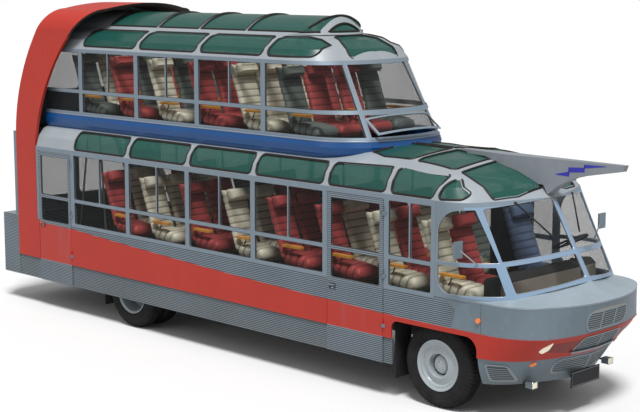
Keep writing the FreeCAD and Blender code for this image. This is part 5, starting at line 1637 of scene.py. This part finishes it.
# ---------------------------------------------------------------- wheels
@dataclass(frozen=True)
class Tyre:
    """One heavy tyre with shoulder blocks, grooves and sidewall rings."""

    radius: float = 0.5095
    width: float = 0.249
    seat: float = 0.2925
    blocks: int = 64
    # Points of half the section: how far they are from the seat or from the tread, and how far
    # within the tyre's side.
    bead: Outline = ((0.0, 0.029), (0.022, 0.018), (0.034, 0.006), (0.042, 0.0065))
    wall: Outline = ((0.135, 0.001), (0.115, 0.0), (0.108, 0.003), (0.1, 0.0), (0.075, 0.003),
                     (0.052, 0.009), (0.044, 0.011), (0.026, 0.021), (0.010, 0.037), (0.004, 0.052))
    tread: Outline = ((0.001, 0.062), (0.001, 0.078), (0.010, 0.081), (0.010, 0.088), (0.0, 0.091),
                      (0.0, 0.110), (0.010, 0.113), (0.010, 0.119), (0.0, 0.122))
    # The gaps between shoulder blocks: their depth, their width as a limit on a sine, where they
    # start on each side, how far down the wall they reach and how near the middle they end.
    gap_depth: float = 0.009
    gap_limit: float = 0.55
    gap_starts: Tuple[float, float] = (0.6, 2.2)
    gap_reach: float = 0.05
    gap_end: float = 0.03

    def outline(self) -> Outline:
        """Section from bead to bead.

        Returns:
            (radius, along) pairs.
        """
        half = self.width / 2
        whole = [(self.seat + up, half - within) for up, within in self.bead]
        whole += [(self.radius - down, half - within) for down, within in self.wall + self.tread]
        return whole + [(radius, -along) for radius, along in reversed(whole)]

    def block(self, turn: float, radius: float, along: float) -> float:
        """Cut the shoulder blocks into the outline.

        Args:
            turn: angle round the axle.
            radius: distance from the axle.
            along: place along the axle.

        Returns:
            Change of the radius.
        """
        if radius < self.radius - self.gap_reach or abs(along) < self.gap_end:
            return 0.0
        wave = math.sin(turn * self.blocks + self.gap_starts[0 if along > 0 else 1])
        return -self.gap_depth if wave > self.gap_limit else 0.0

    def build(self, maker: Maker, middle: Vector) -> None:
        """Turn the tyre about its axle."""
        maker.lathe(self.outline(), middle, Vector((0, 1, 0)), self.blocks * 4, 0, self.block)


@dataclass
class Wheels:
    """Tyres, rims and their hub caps."""

    axle_height: float = 0.51
    front_x: float = 3.54
    rear_x: float = -2.17
    # How far off the centre the outer and the inner wheels are.
    outer: float = 0.965
    inner: float = 0.665
    # How far the hub caps stand out from the outer wheels' middles.
    front_cap: float = 0.072
    rear_cap: float = -0.027
    nut_circle: float = 0.165
    nut_depth: float = 0.104
    nut_count: int = 10
    # Points of a ring, and the radius, half width, rise and slot of each ring on a front rim; slot one
    # is the dark ring of painted shade in the rim's groove.
    ring_steps: int = 64
    ring_sizes: Tuple[Tuple[float, float, float, int], ...] = (
        (0.118, 0.011, 0.0012, 1), (0.137, 0.006, 0.004, 0), (0.262, 0.004, 0.003, 0),
        (0.094, 0.004, 0.003, 0))

    def build(self) -> None:
        """Make all six wheels."""
        for side, word in SIDES:
            dress(Shades.RIM, f"rim_front_{word}", f"rims_rear_{word}")
            front, rear = f"wheel_front_{word}", f"wheels_rear_{word}"
            self.tyres(f"tread_front_{word}", front, f"tyre_front_{word}", self.front_x, (side * self.outer,))
            self.tyres(f"tread_rear_{word}", rear, f"tyres_rear_{word}", self.rear_x,
                       (side * self.outer, side * self.inner))
            self.cap(side, self.front_x, front, self.front_cap)
            self.cap(side, self.rear_x, rear, self.rear_cap)
            self.nuts(side, word)
            self.rings(side, word)

    def tyres(self, name: str, body: str, node: str, x: float, places: Tuple[float, ...]) -> None:
        """Tyres on one hub, which stand for the CAD's own.

        Args:
            name: name of the piece.
            body: body that it rides on.
            node: CAD node that it stands for.
            x: place of the axle.
            places: where the tyres are across the bus.
        """
        maker = Maker()
        for y in places:
            Tyre().build(maker, Vector((x, y, self.axle_height)))
        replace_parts(maker.piece(name, body, [Shades.TYRE], 30.0, "tyre_rubber"), node)

    def cap(self, side: int, x: float, body: str, out: float) -> None:
        """Bright domed hub cap.

        Args:
            side: -1 for the right, 1 for the left.
            x: place of the axle.
            body: body that it rides on.
            out: how far it stands out from the wheel's middle.
        """
        maker = Maker()
        dome = [(0.0, 0.006), (0.022, 0.0055), (0.036, 0.003), (0.042, 0.0005), (0.044, -0.002)]
        maker.lathe(dome, Vector((x, side * (self.outer + out), self.axle_height)), Vector((0, side, 0)), 32)
        maker.piece(f"hub_cap_{body}", body, [Shades.CHROME])

    def nuts(self, side: int, word: str) -> None:
        """Wheel nuts on a rear disc.

        Args:
            side: -1 for the right, 1 for the left.
            word: the side's name.
        """
        maker = Maker()
        nut = [(0.0, 0.026), (0.009, 0.026), (0.010, 0.02), (0.0165, 0.018), (0.0165, 0.0)]
        for number in range(self.nut_count):
            turn = math.tau * number / self.nut_count
            x = self.rear_x + self.nut_circle * math.cos(turn)
            z = self.axle_height + self.nut_circle * math.sin(turn)
            maker.lathe(nut, Vector((x, side * (self.outer - self.nut_depth), z)), Vector((0, side, 0)), 6)
        maker.piece(f"nuts_rear_{word}", f"wheels_rear_{word}", [Shades.ENGINE])

    def rings(self, side: int, word: str) -> None:
        """A dark ring of painted shade for the groove, and bright trim rings, laid on a front rim's face.

        Args:
            side: -1 for the right, 1 for the left.
            word: the side's name.
        """
        maker = Maker()
        hub = Vector((self.front_x, side * self.outer, self.axle_height))
        skin = Skin(f"rim_front_{word}")
        turns = [math.tau * step / self.ring_steps for step in range(self.ring_steps)]
        for radius, half, height, slot in self.ring_sizes:
            spokes = [Vector((math.cos(turn), 0.0, math.sin(turn))) * radius for turn in turns]
            starts = [hub + spoke + Vector((0, side * 0.5, 0)) for spoke in spokes]
            run = skin.trace(starts, Vector((0, -side, 0)))
            if len(run) > self.ring_steps - 4:
                maker.sweep(run, half_round(half * 2, height), closed=True, slot=slot)
        skin.mesh.free()
        maker.piece(f"rim_rings_{word}", f"wheel_front_{word}", [Shades.CHROME, Shades.RIM_GROOVE_SHADE])


# ---------------------------------------------------------------- cabin
@dataclass(frozen=True)
class Pad:
    """A stuffed pad: a crowned closed form with sewn channels across it."""

    length: float
    width: float
    thick: float
    channels: int
    rows: int
    columns: int = 12
    soft: float = 0.012
    pressure: float = 4.0
    stiffness: float = 25.0
    settle: int = 14
    # How squarely the pad's ends and sides are filled, and how its edges fall away.
    end_power: int = 9
    side_power: int = 7
    crown_power: float = 0.42
    pinch: float = 0.022
    tuck: float = 0.02
    # The channels' seams: depth, half width, half width of their painted shade, and share on the back.
    seam_depth: float = 0.016
    seam_half: float = 0.010
    shade_half: float = 0.0075
    seam_back: float = -0.4
    # Height and fineness of the hide's unevenness.
    wander: float = 0.0022
    wander_scale: float = 9.0

    def mesh(self, name: str) -> bpy.types.Object:
        """Crowned form without its channels, lying flat about its middle.

        Args:
            name: name of the object.

        Returns:
            The new object.
        """
        rows, columns = self.rows, self.columns
        points = []
        for sheet in (1, -1):
            for row in range(rows + 1):
                u = 2 * row / rows - 1
                for column in range(columns + 1):
                    v = 2 * column / columns - 1
                    crown = (max(0.0, 1 - abs(u) ** self.end_power) ** self.crown_power
                             * max(0.0, 1 - abs(v) ** self.side_power) ** self.crown_power)
                    pinch = 1 - self.pinch * (1 - abs(v) ** 2) * abs(u) ** 8
                    tuck = 1 - self.tuck * (1 - u * u) * abs(v) ** 8
                    points.append(Vector((u * self.length / 2 * pinch, v * self.width / 2 * tuck,
                                          sheet * self.thick / 2 * crown)))
        faces = [face[::-1] for face in grid(rows, columns)] + grid(rows, columns, (rows + 1) * (columns + 1))
        mesh = bpy.data.meshes.new(name)
        mesh.from_pydata(points, [], faces)
        work = bmesh.new()
        work.from_mesh(mesh)
        bmesh.ops.remove_doubles(work, verts=work.verts, dist=1e-4)
        bmesh.ops.recalc_face_normals(work, faces=work.faces)
        work.to_mesh(mesh)
        work.free()
        return linked(name, mesh)

    def stuff(self, thing: bpy.types.Object) -> None:
        """Blow the pad up as cloth, with the movement of each point capped.

        Args:
            thing: the pad.
        """
        rest = [vert.co.copy() for vert in thing.data.vertices]
        cloth = thing.modifiers.new("stuffing", "CLOTH")
        cloth.settings.use_pressure = True
        cloth.settings.uniform_pressure_force = self.pressure
        cloth.settings.effector_weights.gravity = 0.0
        cloth.settings.tension_stiffness = self.stiffness
        scene = bpy.context.scene
        for number in range(self.settle):
            scene.frame_set(number + 1)
        shaped = thing.evaluated_get(bpy.context.evaluated_depsgraph_get()).to_mesh()
        moved = [vert.co.copy() for vert in shaped.vertices]
        thing.modifiers.remove(cloth)
        scene.frame_set(1)
        for vert, start, end in zip(thing.data.vertices, rest, moved):
            step = end - start
            if step.length > self.soft:
                step *= self.soft / step.length
            vert.co = start + step

    def sew(self, thing: bpy.types.Object) -> None:
        """Press the channels' seams into the pad's front and note where the hide gets painted shade along
        them.

        Args:
            thing: the pad.
        """
        gap = self.length / self.channels
        seam_shades = []
        for vert in thing.data.vertices:
            seam_shades.append(0.0)
            place = (vert.co.x + self.length / 2) / gap
            near = abs(place - round(place)) * gap
            if 0.5 < place < self.channels - 0.5:
                depth = self.seam_depth * math.exp(-(near / self.seam_half) ** 2)
                seam_shades[-1] = math.exp(-(near / self.shade_half) ** 2)
                vert.co.z -= depth * (1 if vert.co.z > 0 else self.seam_back)
            vert.co.z += noise.noise(vert.co * self.wander_scale) * self.wander
        thing.data.attributes.new("seam_shade", "FLOAT", "POINT").data.foreach_set("value", seam_shades)

    def make(self, name: str) -> bpy.types.Mesh:
        """The finished pad's mesh.

        Args:
            name: name of the mesh.

        Returns:
            The mesh.
        """
        thing = self.mesh(name)
        self.stuff(thing)
        self.sew(thing)
        mesh = thing.data
        mesh.polygons.foreach_set("use_smooth", [True] * len(mesh.polygons))
        bpy.data.objects.remove(thing)
        return mesh


@dataclass
class Seating:
    """Reclined seats on both decks, each a padded cushion, a channelled back and a neck roll."""

    # Name, length, share of the seat's width, thickness, channels, rows, middle from the front of
    # the cushion, and turn in degrees of each pad.
    pads: Tuple[Tuple[str, float, float, float, int, int, Point, float], ...] = (
        ("cushion", 0.455, 0.985, 0.165, 4, 20, (-0.235, 0.0, 0.098), -5.4),
        ("back", 0.845, 0.97, 0.118, 9, 54, (-0.628, 0.0, 0.500), 110.8),
        ("roll", 0.155, 0.86, 0.125, 1, 10, (-0.652, 0.0, 0.835), 110.8))
    # How much of a pad its stuffing fills, and how round the armrests' edges are.
    fill: float = 0.7
    armrest_edge: float = 0.009
    # Points of an armrest's strut, back from its front and up from its lowest point.
    strut: Outline = ((-0.17, 0.004), (-0.19, -0.05), (-0.225, -0.105))
    strut_radius: float = 0.008
    # How far off the centre the outer row of seats starts.
    outer_row: float = 0.62
    # The driver's seat lies ahead of this place, on the left of the lower deck.
    cab_x: float = 3.9
    # Hides of each deck and side from front to rear: C cream, M maroon, O green grey.
    patterns: Tuple[Tuple[str, int, str], ...] = (
        ("lower", -1, "CCMMCMCM"), ("lower", 1, "MOCMO"), ("upper", -1, "OCMCMO"), ("upper", 1, "OMMCO"))

    def build(self) -> None:
        """Seat every place of both decks and pad the armrests."""
        made: Dict[Tuple[str, int], bpy.types.Mesh] = {}
        for deck in ("lower", "upper"):
            counts: Dict[Tuple[int, bool], int] = {}
            things = []
            for number, (low, high) in enumerate(islands(f"{deck}_seats")):
                y = ((low + high) / 2).y
                side, outer = -1 if y < 0 else 1, abs(y) > self.outer_row
                place = counts.setdefault((side, outer), 0)
                counts[(side, outer)] += 1
                shade = self.hide(deck, side, place + (0 if outer else 2))
                if deck == "lower" and side > 0 and high.x > self.cab_x:
                    shade = Shades.CAB_HIDE
                front = Vector((high.x, y, low.z))
                things += self.seat(made, f"{deck}_{number:02d}", front, high.y - low.y, shade)
            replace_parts(things[0], f"{deck}_seats")
        dress(Shades.TAN, "armrests")
        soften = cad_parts["armrests"].modifiers.new("soften", "BEVEL")
        soften.width = self.armrest_edge
        soften.segments = 2
        self.struts()

    def hide(self, deck: str, side: int, place: int) -> Shades:
        """Hide of a passenger's seat.

        Args:
            deck: the seat's deck.
            side: -1 for the right, 1 for the left.
            place: how many seats are ahead of it.

        Returns:
            The hide.
        """
        pattern = next(letters for level, hand, letters in self.patterns if (level, hand) == (deck, side))
        return {"C": Shades.CREAM, "M": Shades.MAROON, "O": Shades.OLIVE}[pattern[place % len(pattern)]]

    def seat(self, made: Dict[Tuple[str, int], bpy.types.Mesh], label: str, front: Vector, width: float,
             shade: Shades) -> List[bpy.types.Object]:
        """One seat at a place.

        Args:
            made: meshes already made, by part and width.
            label: deck and number of the seat.
            front: middle of the cushion's front edge, at its bottom.
            width: width of the seat.
            shade: its hide.

        Returns:
            The seat's pieces.
        """
        things = []
        for part, length, share, thick, channels, rows, middle, turn in self.pads:
            key = (part, round(width * 1000))
            if key not in made:
                made[key] = Pad(length, width * share, thick, channels, rows).make(f"{part}_{key[1]}")
            mesh = made[key].copy()
            mesh.materials.append(shade.material())
            thing = linked(f"{part}_{label}", mesh)
            spin = Matrix.Rotation(math.radians(-turn), 4, "Y")
            thing.matrix_world = Matrix.Translation(front + Vector(middle)) @ spin
            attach(thing, "root")
            LOG.info("piece %s on root", thing.name)
            things.append(thing)
        return things

    def struts(self) -> None:
        """Dark struts that carry the armrests."""
        maker = Maker()
        for low, high in islands("armrests"):
            path = [(high.x + along, (low.y + high.y) / 2, low.z + up) for along, up in self.strut]
            maker.sweep(carried(path, (0, 1, 0)), dot_section(self.strut_radius, 6))
        maker.piece("armrest_struts", "root", [Shades.BRACKET])


@dataclass
class Cabin:
    """Floors, stair and the driver's dials."""

    # The top of the dashboard, which is padded, lies ahead of and above this.
    padded_from: Tuple[float, float] = (4.32, 1.2)
    dial_face: Point = (-0.97, 0.0, 0.25)
    dial_x: float = 4.158
    dial_z: float = 1.575
    # Place across the bus and radius of each dial.
    dial_sizes: Outline = ((0.54, 0.045), (0.66, 0.06), (0.78, 0.045))

    def build(self) -> None:
        """Dress the inside and add the dials."""
        dress(Shades.FLOOR, "lower_floor", "upper_floor")
        dress(Shades.BRACKET, "seat_stands")
        dress(Shades.STAIR, "staircase")
        dress(Shades.DARK, "steering_wheel")
        rear, low = self.padded_from
        dress_faces("dashboard", (Shades.DASH, Shades.DARK),
                    lambda middle, normal: 0 if middle.x > rear and middle.z > low else 1)
        maker = Maker()
        face = Vector(self.dial_face).normalized()
        for y, size in self.dial_sizes:
            middle = Vector((self.dial_x, y, self.dial_z))
            rim = [(size * 0.86, 0.004), (size * 0.9, 0.012), (size, 0.010), (size, -0.02)]
            maker.lathe([(0.0, 0.004), rim[0]], middle, face, 28, 1)
            maker.lathe(rim, middle, face, 28)
        maker.piece("dials", "root", [Shades.CHROME, Shades.DIAL])


# ---------------------------------------------------------------- underside and rear
class Underside:
    """Frame, axles, springs and engine."""

    def build(self) -> None:
        """Dress what shows from below."""
        dress(Shades.CHASSIS, "chassis_frame", "front_axle", "rear_axle", "leaf_springs", "knuckle_left",
              "knuckle_right")
        dress(Shades.ENGINE, "engine")
        dress(Shades.FLAP, "mud_flaps")


@dataclass
class Rear:
    """Tail lamps, plate and the lid's pulls on the luggage box."""

    lamp_y: float = 0.98
    # Height, slot and radius of each lamp.
    lamp_sizes: Tuple[Tuple[float, int, float], ...] = ((1.12, 0, 0.05), (0.98, 1, 0.038))
    # Lowest and highest corner (across, up) of the blank plate.
    plate: Outline = ((-0.26, 0.93), (0.26, 1.06))
    pull_y: float = 0.5
    pull_z: float = 1.22
    # Points of a pull, back from the lid and across from the pull's middle.
    pull: Outline = ((0.0, -0.06), (-0.016, -0.055), (-0.016, 0.055), (0.0, 0.06))
    pull_radius: float = 0.004

    def build(self) -> None:
        """Add lamps, the blank plate and the pulls to the back."""
        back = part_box("luggage_box")[0].x + BOX_BACK
        astern = Vector((-1, 0, 0))
        lamps = Maker()
        for side in (-1, 1):
            for z, slot, radius in self.lamp_sizes:
                middle = Vector((back, side * self.lamp_y, z))
                rim = [(radius * 0.88, 0.002), (radius * 0.92, 0.011), (radius, 0.009), (radius, -0.001)]
                glass = [(0.0, 0.017), (radius * 0.55, 0.015), (radius * 0.85, 0.009), rim[0]]
                lamps.lathe(glass, middle, astern, 28, slot)
                lamps.lathe(rim, middle, astern, 28, 2)
        lamps.piece("tail_lamps", "root", [Shades.RUBY, Shades.AMBER, Shades.CHROME])
        plate = Maker()
        low, high = self.plate
        plate.slab((back - 0.008, *low), (back + 0.002, *high), 0.003)
        for side in (-1, 1):
            path = [(back + out, side * self.pull_y + across, self.pull_z) for out, across in self.pull]
            plate.sweep(carried(path, (0, 0, 1)), dot_section(self.pull_radius, 8), slot=1)
        plate.piece("rear_plate_and_pulls", "root", [Shades.PLATE, Shades.CHROME])


def main() -> None:
    """Build every sub-assembly in order and report it."""
    boxes: Dict[str, Any] = {}
    write_box("cad", boxes)
    for kind in (Studio, Coachwork, Glazing, Crown, Nose, Wheels, Seating, Cabin, Underside, Rear):
        kind().build()
        LOG.info("%s done", kind.__name__)
    write_box("visual", boxes)


if __name__ == "__main__":
    main()
